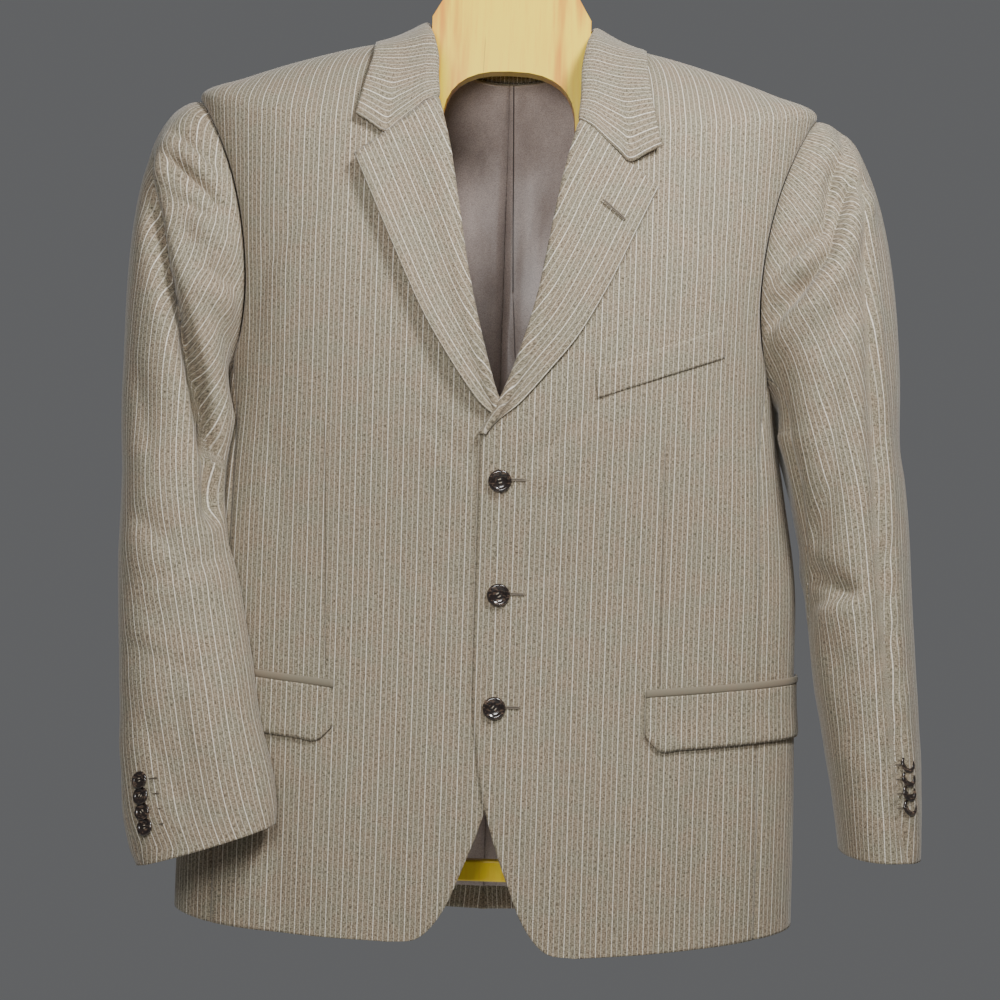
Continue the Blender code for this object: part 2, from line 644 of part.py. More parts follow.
def add_collar_and_lapels():
    for name, side in SIDES.items():
        add_sheet(f"lapel_{name}", on_side(side, lapel_grid(side)), LAPEL_WALL, "wool")
    left = collar_half(LEFT)
    right = collar_half(RIGHT) * (-1, 1, 1)
    middle = (left[-1] + right[-1]) / 2
    collar = np.concatenate([left[:-1], middle[None], right[-2::-1]])
    add_sheet("collar", collar, COLLAR_WALL, "wool")


def add_pocket(name, side):
    lift = BODY_WALL + POCKET_LIFT
    flap = skin(flap_places(side, flap_foot, 0), lift)
    add_sheet(f"flap_{name}", on_side(side, flap), FLAP_WALL, "wool")
    jet = skin(flap_places(side, lambda x: np.full(x.shape, LAYER_GAP), JET_HEIGHT), lift)
    add_sheet(f"jet_{name}", on_side(side, jet), TRIM_WALL, "wool")


def add_breast_welt():
    low_in, low_out, high_out, high_in = np.array(WELT_CORNERS, float)
    u = np.linspace(0, 1, 8)[None, :, None]
    v = np.linspace(0, 1, 3)[:, None, None]
    flat = (low_in * (1 - u) + low_out * u) * (1 - v) + (high_in * (1 - u) + high_out * u) * v
    places = on_front(flat[..., 0], flat[..., 1])
    add_sheet("breast_welt", skin(places, BODY_WALL + LAYER_GAP), TRIM_WALL, "wool")


def add_button(name, centre, facing, radius, height):
    """A turned button: a dished top inside a rounded rim, carried round its own axis."""
    profile = np.array((
        # radius, height: shares of the button's own
        (0.00, 0.55), (0.60, 0.60), (0.76, 1.00), (0.92, 0.94), (1.00, 0.55), (0.86, 0.08),
        (0.00, 0.00),
    )) * (radius, height)  # fmt: skip
    mesh = bpy.data.meshes.new(name)
    points = [(r * MM, 0, z * MM) for r, z in profile]
    mesh.from_pydata(points, [(i, i + 1) for i in range(len(points) - 1)], [])
    obj = keep(name, mesh, "horn")
    turn = obj.modifiers.new("turn", "SCREW")
    turn.steps = turn.render_steps = 14
    turn.use_merge_vertices = True
    turn.merge_threshold = 0.00005
    rotation = Vector(facing).to_track_quat("Z", "Y").to_matrix().to_4x4()
    obj.matrix_world = Matrix.Translation(place_points(np.asarray(centre))) @ rotation
    return obj


def add_buttons():
    for number, (x, height) in enumerate(FRONT_BUTTONS, 1):
        place = on_front(x, height)
        out = BODY_WALL + LAP_RISE + LAYER_GAP
        centre, facing = skin(place, out), torso_normal(place)
        add_button(
            f"button_front_{number}", centre, facing, FRONT_BUTTON_RADIUS, FRONT_BUTTON_HEIGHT
        )
    for name, side in SIDES.items():
        first, spacing, angle, stand_off = CUFF_BUTTONS[side]
        for number in range(4):
            height = first - spacing * number
            add_cuff_button(f"button_cuff_{name}_{number + 1}", side, height, angle, stand_off)


def add_cuff_button(name, side, height, angle, stand_off):
    """One of four that overlap like tiles: each tilts so its lower rim lies on the next."""
    middle = sleeve_ring(side, height, angle)
    around = sleeve_ring(side, height, angle - 1) - sleeve_ring(side, height, angle + 1)
    upward = sleeve_ring(side, height + 1, angle) - sleeve_ring(side, height - 1, angle)
    outward = unit(np.cross(around, upward))
    tilt = math.radians(CUFF_BUTTON_TILT)
    facing = unit(outward * math.cos(tilt) + unit(upward) * math.sin(tilt))
    centre = middle + outward * stand_off
    mirror = (side, 1, 1)
    add_button(name, centre * mirror, facing * mirror, CUFF_BUTTON_RADIUS, CUFF_BUTTON_HEIGHT)


def add_hanger_board():
    """A flat board: chamfered neck, sides that step out to two legs, and an arch between them."""
    shoulder_x, shoulder_h = BOARD_SHOULDER
    foot_x, foot_h = BOARD_FOOT
    right_side = [
        (BOARD_TOP_HALF, BOARD_TOP),
        (shoulder_x, shoulder_h),
        (shoulder_x, LEG_TOP + 6),
        (LEG_HALF, LEG_TOP),
        (LEG_HALF, foot_h + 14),
        (foot_x + 4, foot_h),
    ]
    angles = np.linspace(0, math.pi, 17)
    arch = [
        (
            ARCH_HALF * math.copysign(abs(math.cos(a)) ** (2 / ARCH_SQUARENESS), math.cos(a)),
            foot_h + (ARCH_TOP - foot_h) * math.sin(a) ** (2 / ARCH_SQUARENESS),
        )
        for a in angles
    ]
    left_side = [(-x, h) for x, h in reversed(right_side)]
    outline = right_side + arch + left_side
    curve = bpy.data.curves.new("hanger_neck", "CURVE")
    curve.dimensions = "2D"
    curve.fill_mode = "BOTH"
    curve.extrude = BOARD_HALF_THICKNESS * MM
    spline = curve.splines.new("POLY")
    spline.points.add(len(outline) - 1)
    for point, (x, height) in zip(spline.points, outline):
        point.co = (x * MM, (height - HOOK_HEIGHT) * MM, 0, 1)
    spline.use_cyclic_u = True
    board = keep("hanger_neck", curve, "wood")
    board.rotation_euler = (math.pi / 2, 0, 0)


def add_board(name, low, high):
    """A straight length of wood with softened edges."""
    mesh = bpy.data.meshes.new(name)
    cube = bmesh.new()
    bmesh.ops.create_cube(cube, size=1)
    low, high = place_points(np.asarray(low, float)), place_points(np.asarray(high, float))
    bmesh.ops.scale(cube, vec=high - low, verts=cube.verts)
    cube.to_mesh(mesh)
    cube.free()
    obj = keep(name, mesh, "wood")
    obj.location = (low + high) / 2
    softened = obj.modifiers.new("softened", "BEVEL")
    softened.width = 1.5 * MM
    softened.segments = 2


def add_hanger():
    add_hanger_board()
    arm_places = np.stack(np.meshgrid(ARM_LEVELS, ARM_TURNS, indexing="ij")[::-1], -1)
    clearance = np.linspace(*ARM_CLEARANCE, len(ARM_LEVELS))[:, None]
    for name, side in SIDES.items():
        arm = on_side(side, skin(arm_places, -clearance * np.ones(len(ARM_TURNS))))
        add_sheet(f"hanger_arm_{name}", arm, ARM_DEPTH, "wood", offset=-1.0)
    half_x, half_y = RAIL_HALF
    shoulder = TORSO[:-6:-1]
    ridge = np.interp(RAIL_X + half_x, shoulder[:, 1], shoulder[:, 2])
    top = ridge - ARM_CLEARANCE[1] - ARM_DEPTH + 0.9
    for name, side in SIDES.items():
        x = side * RAIL_X
        low = (x - half_x, -half_y, BAR_HEIGHTS[1] + 0.4)
        add_board(f"hanger_rail_{name}", low, (x + half_x, half_y, top))
    reach = RAIL_X + half_x
    add_board("hanger_bar", (-reach, -half_y, BAR_HEIGHTS[0]), (reach, half_y, BAR_HEIGHTS[1]))
    add_hook()


def add_hook():
    """A round wire: straight neck, a half turn to one side, then over the top to its open end."""
    middle = WIRE_RADIUS - HOOK_RADIUS
    arc = np.radians(np.linspace(-62, 205, 19))
    x = HOOK_RADIUS * np.cos(arc)
    z = middle + HOOK_RADIUS * np.sin(arc)
    stem_foot = BOARD_TOP - HOOK_HEIGHT + 0.3
    points = [(0, stem_foot), (0, -HOOK_NECK), (2.5, -HOOK_NECK + 6), *zip(x, z)]
    curve = bpy.data.curves.new("hanger_hook", "CURVE")
    curve.dimensions = "3D"
    curve.bevel_depth = WIRE_RADIUS * MM
    curve.bevel_resolution = 2
    curve.use_fill_caps = True
    spline = curve.splines.new("POLY")
    spline.points.add(len(points) - 1)
    for point, (px, pz) in zip(spline.points, points):
        point.co = (px * MM, 0, pz * MM, 1)
    keep("hanger_hook", curve, "steel")


def main():
    clear_scene()
    for name, side in SIDES.items():
        add_body(name, side)
        add_sleeve(name, side)
        add_pocket(name, side)
    add_collar_and_lapels()
    add_breast_welt()
    add_buttons()
    add_hanger()


main()
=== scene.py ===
"""Looks of a three-button blazer that hangs on a wooden torso-form hanger.

Tables and sizes are in millimetres. Heights are measured up from the front hem, x runs to the
wearer's left and y runs back. The cloth surfaces follow the solids, with far more steps, small
creases, seams and a pinstriped weave.
"""

import math

import bpy
import numpy as np
from mathutils import Matrix, Vector


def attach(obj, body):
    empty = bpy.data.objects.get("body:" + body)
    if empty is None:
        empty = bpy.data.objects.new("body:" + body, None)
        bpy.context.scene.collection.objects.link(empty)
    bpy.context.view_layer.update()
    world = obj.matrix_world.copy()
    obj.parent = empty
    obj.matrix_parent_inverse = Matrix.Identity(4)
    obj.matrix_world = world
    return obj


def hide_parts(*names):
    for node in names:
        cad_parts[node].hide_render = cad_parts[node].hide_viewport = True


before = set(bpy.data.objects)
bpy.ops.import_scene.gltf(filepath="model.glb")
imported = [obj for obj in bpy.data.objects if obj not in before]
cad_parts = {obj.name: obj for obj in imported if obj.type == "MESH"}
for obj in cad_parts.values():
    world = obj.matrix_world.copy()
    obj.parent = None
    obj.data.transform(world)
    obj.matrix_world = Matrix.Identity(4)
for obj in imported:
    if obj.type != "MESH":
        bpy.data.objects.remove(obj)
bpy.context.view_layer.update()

MM = 0.001
HOOK_HEIGHT = 880.0  # the hook's seat above the front hem

BODY_WALL = 2.0
SLEEVE_WALL = 1.8
LAPEL_WALL = 2.0
COLLAR_WALL = 2.2
TRIM_WALL = 1.5
LINING_WALL = 1.0
LAYER_GAP = 0.5
SEAM_TURN = 0.1  # degrees a body seam keeps clear on each side
CENTRE_TURN = 0.015  # the same at the centre back, where a degree is far wider
SLEEVE_SEAM_TURN = 0.25
SEAM_RISE = 0.5  # the same for seams that run across the cloth
ARMHOLE_GAP = 0.6

LEFT = 1  # the wearer's left, at +x, whose front laps over
RIGHT = -1
SIDES = {"left": LEFT, "right": RIGHT}

# The body as rings. Above the underarm a ring's sides climb the shoulder while its front stays low.
TORSO = np.array((
    # level, half width, side height, front depth, front height, back depth, back height, squareness
    (-20, 262, -20, 87, -20, 84, -20, 2.30),
    (0, 262, 0, 86, 0, 82, 0, 2.30),
    (110, 261, 110, 82, 110, 74, 110, 2.30),
    (225, 258, 225, 79, 225, 68, 225, 2.30),
    (310, 256, 310, 84, 310, 72, 310, 2.30),
    (390, 243, 390, 97, 390, 88, 389, 2.30),
    (450, 233, 450, 107, 446, 100, 445, 2.30),
    (520, 234, 520, 113, 508, 108, 508, 2.30),
    (590, 242, 590, 112, 568, 112, 572, 2.30),
    (650, 252, 652, 106, 618, 110, 628, 2.25),
    (700, 261, 697, 99, 656, 103, 668, 2.20),
    (720, 262, 709, 96, 668, 99, 682, 2.18),
    (760, 226, 724, 88, 686, 91, 702, 2.15),
    (800, 180, 740, 78, 702, 82, 718, 2.12),
    (840, 130, 754, 67, 716, 74, 732, 2.10),
    (880, 76, 765, 55, 730, 68, 744, 2.10),
))
HEM_LEVEL = np.array(((-60, 0), (12, 0), (27, 4), (63, 15), (90, 20), (119, 18), (180, 6)), float)
NECK_LEVEL = 880.0

# The armhole is an oval on those rings, 0 at its top, 90 in front, 180 at the underarm.
ARMHOLE_MIDDLE = 586.0
ARMHOLE_HALF = 129.0
ARMHOLE_FRONT_REACH = 28.5
ARMHOLE_BACK_REACH = 24.0
UPPER_ANGLES = np.linspace(145, -130, 18)  # the top sleeve's share, front to back
UNDER_ANGLES = np.linspace(145, 230, 6)
SHOULDER_INDEX = 10  # where the shoulder seam meets the armhole

# The side panel's two seams: level, then degrees round from the centre front.
FRONT_SEAM = np.array(((-20, 57.5), (330, 58.5), (410, 64), (480.3, 73.65)))
BACK_SEAM = np.array(((-20, 119), (330, 117), (420, 112), (503.1, 108.4)))
SEAM_STEPS = np.array((0, 0.04, 0.09, 0.16, 0.24, 0.33, 0.43, 0.55, 0.67, 0.79, 0.88, 0.94, 1))

# The free edge of a front: hem corner, buttoned edge, then the lapel's roll line to the neck.
FRONT_EDGE = np.array((
    # x, height: the first rows pair with SEAM_STEPS, the rest with the armhole
    (76, 0), (52, 4), (33, 26), (18, 62), (4, 102), (-7, 150), (-13, 202),
    (-14, 250), (-14, 296), (-14, 342), (-14, 389), (-13, 426), (-2, 444),
    (7, 463), (20, 503), (32, 550), (41, 600), (50, 648), (61, 691), (64.5, 712), (67.5, 733),
    (71, 752),
))  # fmt: skip
FRONT_COLUMNS = np.array((0, 0.045, 0.11, 0.19, 0.28, 0.38, 0.49, 0.6, 0.71, 0.82, 0.92, 1))
BACK_CENTRE = np.array((
    6, 28, 56, 92, 135, 185, 240, 305, 368, 425, 468, 495, 520, 575, 630, 685, 740, 790, 840, 880,
))  # fmt: skip
BACK_COLUMNS = np.array((0, 0.08, 0.16, 0.24, 0.32, 0.4, 0.55, 0.7, 0.85, 1))
BACK_NECK_STEPS = 5  # this many steps of the back's top are neck edge, the rest shoulder seam

RIGHT_FRONT_RISE = 9.0  # the under front hangs a little higher at its corner
COLLAR_LEAN = 9.0  # the collar and lapels sit lower on the wearer's left by twice this
LAP_RISE = BODY_WALL + LAYER_GAP
LAP_REACH = (17.0, 44.0)  # the lapping front lies over the other up to here, then comes down

# The lapel's outer edge, by share of the way up its roll line.
LAPEL_FOOT = 426.0
LAPEL_HEAD = 691.0
LAPEL_EDGE = np.array((
    # share, x, height
    (0.00, -6, 434),
    (0.12, 15, 451),
    (0.30, 39, 481),
    (0.50, 66, 521),
    (0.75, 95, 580),
    (1.00, 122, 639),
))
LAPEL_ROWS = {LEFT: slice(11, 19), RIGHT: slice(12, 19)}  # the rows of FRONT_EDGE it folds over
LAPEL_COLUMNS = np.array((0.12, 0.3, 0.48, 0.66, 0.84, 1))
EDGE_LIFT = {LEFT: 2.5, RIGHT: 9.0}  # how far the lapel's outer edge stands off the chest
ROLL_LIFT = 3.0
FOLD_FOOT_RISE = 1.5  # a flat fold starts this far above the panel's inner face

# The collar from its front end round to the centre back.
COLLAR_FRONT = np.array((
    # edge x, edge height, stand, notch bend: the last rows of FRONT_EDGE
    (123, 671, 0.5, 1.0),
    (117, 703, 2, 0.3),
    (113.5, 726, 5, 0.0),
    (113, 746, 9, 0.0),
))
COLLAR_BACK = np.array((
    # neck turn, edge turn, edge level, stand
    (96, 93, 852, 14),
    (128, 129, 855, 22),
    (162, 162, 858, 29),
    (180, 180, 858, 31),
))
COLLAR_COLUMNS = np.array((0.12, 0.3, 0.48, 0.62, 0.82, 1))
NOTCH_SHARE = 0.62
NOTCH_DROP = 20.6
COLLAR_LIFT = 2.2
COLLAR_EDGE_LIFT = {LEFT: 7.0, RIGHT: 6.5}

# A sleeve below the armhole, as level rings: the photo's two sleeves hang differently.
BICEP_HEIGHT = 430.0
SLEEVES = {
    RIGHT: np.array((
        # height, middle out from the centre, middle back, half width, half depth, slope outward
        (430, 264, -12, 53, 74, 0.00),
        (391, 267, -20, 47, 74, 0.00),
        (355, 267, -28, 46, 70, 0.00),
        (315, 262.5, -38, 49.5, 63, -0.02),
        (232, 251.5, -60, 53.5, 52, -0.10),
        (165, 243, -74, 56, 44, -0.20),
        (110, 232.5, -84, 59.5, 36, -0.30),
        (85, 226.7, -88, 54.7, 36, -0.33),
    )),
    LEFT: np.array((
        (430, 287, -12, 51, 76, 0.00),
        (391, 296, -17, 47.5, 72, 0.00),
        (355, 302, -22, 44.5, 68, 0.00),
        (305, 307, -30, 42, 65, 0.00),
        (229, 314.5, -40, 39.7, 62, 0.00),
        (162, 323, -46, 35.5, 60, 0.00),
        (110, 328, -49, 32, 59, 0.00),
        (90, 329.4, -50, 30.6, 59, 0.00),
    )),
}
SLEEVE_CUFF_FORE = 245.0  # where the two seams end at the cuff
SLEEVE_CUFF_HIND = 390.0
CAP_STEPS = np.array((0, 0.07, 0.15, 0.25, 0.36, 0.49, 0.64, 0.81, 1))
SLEEVE_STEPS = np.array((0.09, 0.18, 0.27, 0.37, 0.48, 0.6, 0.73, 0.86, 0.95, 1))
SLEEVE_FOLDS = {
    RIGHT: (
        # start height, start angle, end height, end angle, half width, depth
        (640, 44, 400, 132, 17, 11),
        (590, 62, 380, 146, 20, -5),
        (300, 150, 250, 60, 16, 3),
    ),
    LEFT: (
        (565, 140, 655, 35, 15, 6),
        (545, 60, 100, 84, 13, 4),
        (312, 175, 300, 110, 14, 5),
    ),
}
BODY_CLEARANCE = 9.0  # room for a pocket flap and the sleeve's own wall

# Pockets, on the front's surface. The flap runs back round the side.
FLAP_START_X = 128.0
FLAP_END_TURN = 91.0
FLAP_TOP = 214.5
FLAP_SLOPE = 0.085
FLAP_DEPTH = 45.0
FLAP_CORNER = 13.0
JET_HEIGHT = 5.5
POCKET_LIFT = 1.0
WELT_CORNERS = ((79, 458), (182.5, 495.5), (180.5, 519.5), (76, 481))

FRONT_BUTTONS = ((2.7, 389.5), (4.5, 296), (4.0, 202.5))
FRONT_BUTTON_RADIUS = 9.5
FRONT_BUTTON_HEIGHT = 3.4
CUFF_BUTTON_RADIUS = 7.2
CUFF_BUTTON_HEIGHT = 2.4
CUFF_BUTTON_TILT = 14.0
CUFF_BUTTONS = {
    # side: first height, spacing, angle round the sleeve, stand-off from its inner face
    RIGHT: (147.0, 11.5, 52.0, 3.3),
    LEFT: (170.0, 11.5, 66.0, 2.5),
}


def through(knots, values, at):
    """Smooth curve through a table: cubic spans whose slopes follow the neighbouring rows."""
    knots = np.asarray(knots, float)
    values = np.asarray(values, float)
    slopes = np.gradient(values, knots, axis=0)
    at = np.clip(np.asarray(at, float), knots[0], knots[-1])
    i = np.clip(np.searchsorted(knots, at, side="right") - 1, 0, len(knots) - 2)
    span = knots[i + 1] - knots[i]
    u = (at - knots[i]) / span
    if values.ndim > 1:
        span, u = span[..., None], u[..., None]
    return (
        values[i] * (1 + 2 * u) * (1 - u) ** 2
        + values[i + 1] * u * u * (3 - 2 * u)
        + slopes[i] * span * u * (1 - u) ** 2
        + slopes[i + 1] * span * u * u * (u - 1)
    )


def smooth(value, low, high):
    """0 below low, 1 above high, and an S between."""
    u = np.clip((value - low) / (high - low), 0, 1)
    return u * u * (3 - 2 * u)


def unit(vectors):
    """Vectors scaled to a length of 1."""
    return vectors / np.linalg.norm(vectors, axis=-1, keepdims=True)


def torso(turn, level):
    """Point of the body's inner surface. turn: 0 centre front, 90 the side, 180 centre back."""
    row = through(TORSO[:, 0], TORSO[:, 1:], level)
    half, side_h, front_d, front_h, back_d, back_h, square = np.moveaxis(row, -1, 0)
    cosine, sine = np.cos(np.radians(turn)), np.sin(np.radians(turn))
    across = np.sign(sine) * np.abs(sine) ** (2 / square)
    along = np.sign(cosine) * np.abs(cosine) ** (2 / square)
    depth = np.where(cosine >= 0, front_d, back_d)
    low = np.where(cosine >= 0, front_h, back_h)
    return np.stack([half * across, -depth * along, low + (side_h - low) * across**2], -1)


def torso_normal(place):
    """Outward direction of the body's surface at each (turn, level)."""
    turn, level = place[..., 0], place[..., 1]
    around = torso(turn + 0.5, level) - torso(turn - 0.5, level)
    upward = torso(turn, level + 0.5) - torso(turn, level - 0.5)
    return unit(np.cross(around, upward))


def skin(place, out=0.0):
    """Body surface points at (turn, level), moved out along the surface's normal."""
    out = np.asarray(out, float)[..., None]
    return torso(place[..., 0], place[..., 1]) + out * torso_normal(place)


def on_front(x, height):
    """(turn, level) of the front point with this x and height, found by halving."""
    x, height = np.broadcast_arrays(np.asarray(x, float), np.asarray(height, float))
    low = np.full(x.shape, TORSO[0, 0])
    high = np.full(x.shape, NECK_LEVEL)
    for _ in range(40):
        level = (low + high) / 2
        row = through(TORSO[:, 0], TORSO[:, 1:], level)
        share = np.clip(np.abs(x) / row[..., 0], 0, 1)
        reached = row[..., 3] + (row[..., 1] - row[..., 3]) * share**2
        low = np.where(reached < height, level, low)
        high = np.where(reached < height, high, level)
    turn = np.degrees(np.arcsin(share ** (row[..., 6] / 2))) * np.sign(x)
    return np.stack([turn, level], -1)


def armhole(angle, grow=0.0):
    """(turn, level) round the armhole oval, grown by some millimetres."""
    sine = np.sin(np.radians(angle))
    reach = np.where(sine > 0, ARMHOLE_FRONT_REACH, ARMHOLE_BACK_REACH) + grow * 0.45
    level = ARMHOLE_MIDDLE + (ARMHOLE_HALF + grow) * np.cos(np.radians(angle))
    return np.stack([90 - reach * sine, level], -1)


SHOULDER_TURN = float(armhole(UPPER_ANGLES[SHOULDER_INDEX])[0])


def lean(side, height):
    """How much lower the collar and lapels sit on this side at a height."""
    share = smooth(height, 440, 560) * (1 - smooth(height, 700, 755))
    return -COLLAR_LEAN * side * share


def front_edge(side):
    """(x, height) down the free edge of a front, each row in its place."""
    x, height = FRONT_EDGE.T.astype(float)
    height = height + lean(side, height)
    if side == RIGHT:
        height = height + RIGHT_FRONT_RISE * (1 - smooth(height, 0, 260))
    return np.stack([x, height], -1)


def lap_rise(side, x, height):
    """The lapping front stands off by one layer of cloth near its edge, below the lapel."""
    if side == RIGHT:
        return np.zeros(np.shape(x))
    return LAP_RISE * (1 - smooth(x, *LAP_REACH)) * (1 - smooth(height, 462, 510))


def side_seam(seam, top, gap):
    """(turn, level) up a side seam from the hem to the armhole, moved round by gap degrees."""
    hem = np.interp(seam[0, 1], HEM_LEVEL[:, 0], HEM_LEVEL[:, 1])
    level = hem + (top - hem) * SEAM_STEPS
    return np.stack([np.interp(level, seam[:, 0], seam[:, 1]) + gap, level], -1)


def patch(inner, outer, columns, bottom, top):
    """(turn, level) grid between two edges, eased onto its bottom and top outlines."""
    share = columns[None, :, None]
    grid = inner[:, None] * (1 - share) + outer[:, None] * share
    rise = np.linspace(0, 1, len(inner))[:, None, None]
    return grid + (1 - rise) ** 3 * (bottom - grid[0]) + rise**3 * (top - grid[-1])


def hem_line(start, end, columns):
    """(turn, level) along the hem between two turns, its level read from the hem's table."""
    turn = start + (end - start) * columns
    return np.stack([turn, np.interp(turn, HEM_LEVEL[:, 0], HEM_LEVEL[:, 1])], -1)


def front_places(side):
    """(turn, level) grid of a front: free edge to side seam and armhole, hem to shoulder."""
    edge = on_front(*front_edge(side).T)
    seam = side_seam(FRONT_SEAM, FRONT_SEAM[-1, 0], -SEAM_TURN)
    arm = armhole(UPPER_ANGLES[1 : SHOULDER_INDEX + 1], SEAM_RISE)
    shoulder = np.array(((SHOULDER_TURN - SEAM_TURN, NECK_LEVEL),))
    inner = np.concatenate([edge, shoulder])
    outer = np.concatenate([seam, arm])
    outer[-1, 0] -= SEAM_TURN
    bottom = hem_line(inner[0, 0], outer[0, 0], FRONT_COLUMNS)
    bottom[:, 1] += (inner[0, 1] - bottom[0, 1]) * (1 - FRONT_COLUMNS)
    top = inner[-1] * (1 - FRONT_COLUMNS[:, None]) + outer[-1] * FRONT_COLUMNS[:, None]
    return patch(inner, outer, FRONT_COLUMNS, bottom, top)


def back_places():
    """(turn, level) grid of a back half: centre seam to side seam and armhole, hem to neck."""
    inner = np.stack([np.full(len(BACK_CENTRE), 180 - CENTRE_TURN), BACK_CENTRE], -1)
    seam = side_seam(BACK_SEAM, BACK_SEAM[-1, 0], SEAM_TURN)
    arm = armhole(UPPER_ANGLES[:SHOULDER_INDEX - 1 : -1], SEAM_RISE)
    outer = np.concatenate([seam, arm[1:]])
    outer[-1, 0] += SEAM_TURN
    bottom = hem_line(inner[0, 0], outer[0, 0], BACK_COLUMNS)
    neck_share = BACK_COLUMNS[BACK_NECK_STEPS]
    neck = np.clip(BACK_COLUMNS / neck_share, 0, 1)
    shoulder = np.clip((BACK_COLUMNS - neck_share) / (1 - neck_share), 0, 1)
    top = np.stack([
        inner[-1, 0] + (outer[-1, 0] - inner[-1, 0]) * neck,
        NECK_LEVEL + (outer[-1, 1] - NECK_LEVEL) * shoulder,
    ], -1)  # fmt: skip
    return patch(inner, outer, BACK_COLUMNS, bottom, top)


def side_places():
    """(turn, level) grid of a side panel: between its two seams, hem to underarm."""
    front = side_seam(FRONT_SEAM, FRONT_SEAM[-1, 0], SEAM_TURN)
    back = side_seam(BACK_SEAM, BACK_SEAM[-1, 0], -SEAM_TURN)
    columns = np.linspace(0, 1, len(UNDER_ANGLES))
    top = armhole(UNDER_ANGLES, SEAM_RISE)
    top[0, 0] += SEAM_TURN
    top[-1, 0] -= SEAM_TURN
    front[-1], back[-1] = top[0], top[-1]
    return patch(front, back, columns, hem_line(front[0, 0], back[0, 0], columns), top)


def turned_over(neck, away, normal, stand):
    """The three columns that carry a fold round the body's edge, from beneath it to above."""
    stand = np.asarray(stand, float)[:, None]
    foot_rise = np.maximum(FOLD_FOOT_RISE - 0.3 * stand, 0)
    return [
        neck + away * 0.6 + normal * foot_rise,
        neck + away * (stand * 0.5 + 1.7) + normal * 1.4,
        neck + away * (stand + 1.2) + normal * 3.4,
    ]


def fold_lift(share, edge_lift):
    """Stand-off of a turned-over layer: a soft roll by its fold, then out to its free edge."""
    return LAYER_GAP + ROLL_LIFT * np.exp(-(((share - 0.14) / 0.2) ** 2)) + edge_lift * share**2


def away_from_panel(edge_points, normals):
    """Direction in the surface, square to the edge and off the panel."""
    return unit(np.cross(normals, unit(np.gradient(edge_points, axis=0))))


def lapel_grid(side):
    """From the roll line out to the free edge: a fold round the front's edge, then the fall."""
    roll_x, roll_h = front_edge(side)[LAPEL_ROWS[side]].T
    roll_h[-1] -= SEAM_RISE
    share = (FRONT_EDGE[LAPEL_ROWS[side], 1] - LAPEL_FOOT) / (LAPEL_HEAD - LAPEL_FOOT)
    edge = through(LAPEL_EDGE[:, 0], LAPEL_EDGE[:, 1:], share)
    edge_h = edge[:, 1] + lean(side, edge[:, 1])
    edge_h[-1] -= SEAM_RISE
    neck_place = on_front(roll_x, roll_h)
    neck = skin(neck_place, lap_rise(side, roll_x, roll_h))
    normal = torso_normal(neck_place)
    columns = turned_over(neck, away_from_panel(neck, normal), normal, np.zeros(len(share)))
    for u in LAPEL_COLUMNS:
        x = roll_x + (edge[:, 0] - roll_x) * u
        h = roll_h + (edge_h - roll_h) * u
        width = smooth(share, -0.1, 0.3)
        out = BODY_WALL + lap_rise(side, x, h) + fold_lift(u, EDGE_LIFT[side] * width)
        columns.append(skin(on_front(x, h), out))
    return np.stack(columns, 1)


def collar_half(side):
    """The collar from its notch to the centre back, as rows of foot, fold and fall."""
    edge_x, edge_h, stand, bend = COLLAR_FRONT.T
    edge_h = edge_h + lean(side, edge_h)
    neck_x, neck_h = front_edge(side)[-len(COLLAR_FRONT) :].T
    neck_h[0] += SEAM_RISE
    back_turn = 180 + (SHOULDER_TURN - 180) * np.linspace(1, 0, BACK_NECK_STEPS + 1)
    edge_turn, edge_level, back_stand = through(COLLAR_BACK[:, 0], COLLAR_BACK[:, 1:], back_turn).T
    back_neck = np.stack([back_turn, np.full(len(back_turn), NECK_LEVEL)], -1)
    back_edge = np.stack([edge_turn, edge_level], -1)
    neck_place = np.concatenate([on_front(neck_x, neck_h), back_neck])
    stand = np.concatenate([stand, back_stand])
    neck = skin(neck_place)
    normal = torso_normal(neck_place)
    radial = unit(normal * (1, 1, 0))
    mix = smooth(stand, 1, 14)[:, None]
    tangent = away_from_panel(neck, normal)
    away = unit((1 - mix) * tangent + mix * (np.array((0, 0, 0.9)) - 0.38 * radial))
    fold_normal = unit((1 - mix) * normal + mix * (radial + (0, 0, 0.15)))
    columns = turned_over(neck - mix * radial * 0.6, away, fold_normal, stand)
    for u in COLLAR_COLUMNS:
        drop = NOTCH_DROP * np.minimum(u / NOTCH_SHARE, (1 - u) / (1 - NOTCH_SHARE))
        x = neck_x + (edge_x - neck_x) * u
        h = neck_h + (edge_h - neck_h) * u - drop * bend + SEAM_RISE * bend
        place = np.concatenate([on_front(x, h), back_neck * (1 - u) + back_edge * u])
        lift = fold_lift(u, COLLAR_EDGE_LIFT[side]) * (1 - mix[:, 0])
        out = BODY_WALL + lift + COLLAR_LIFT * mix[:, 0]
        rest = away * (stand * (1 - u) ** 1.6)[:, None]
        columns.append(skin(place, out) + rest)
    return np.stack(columns, 1)


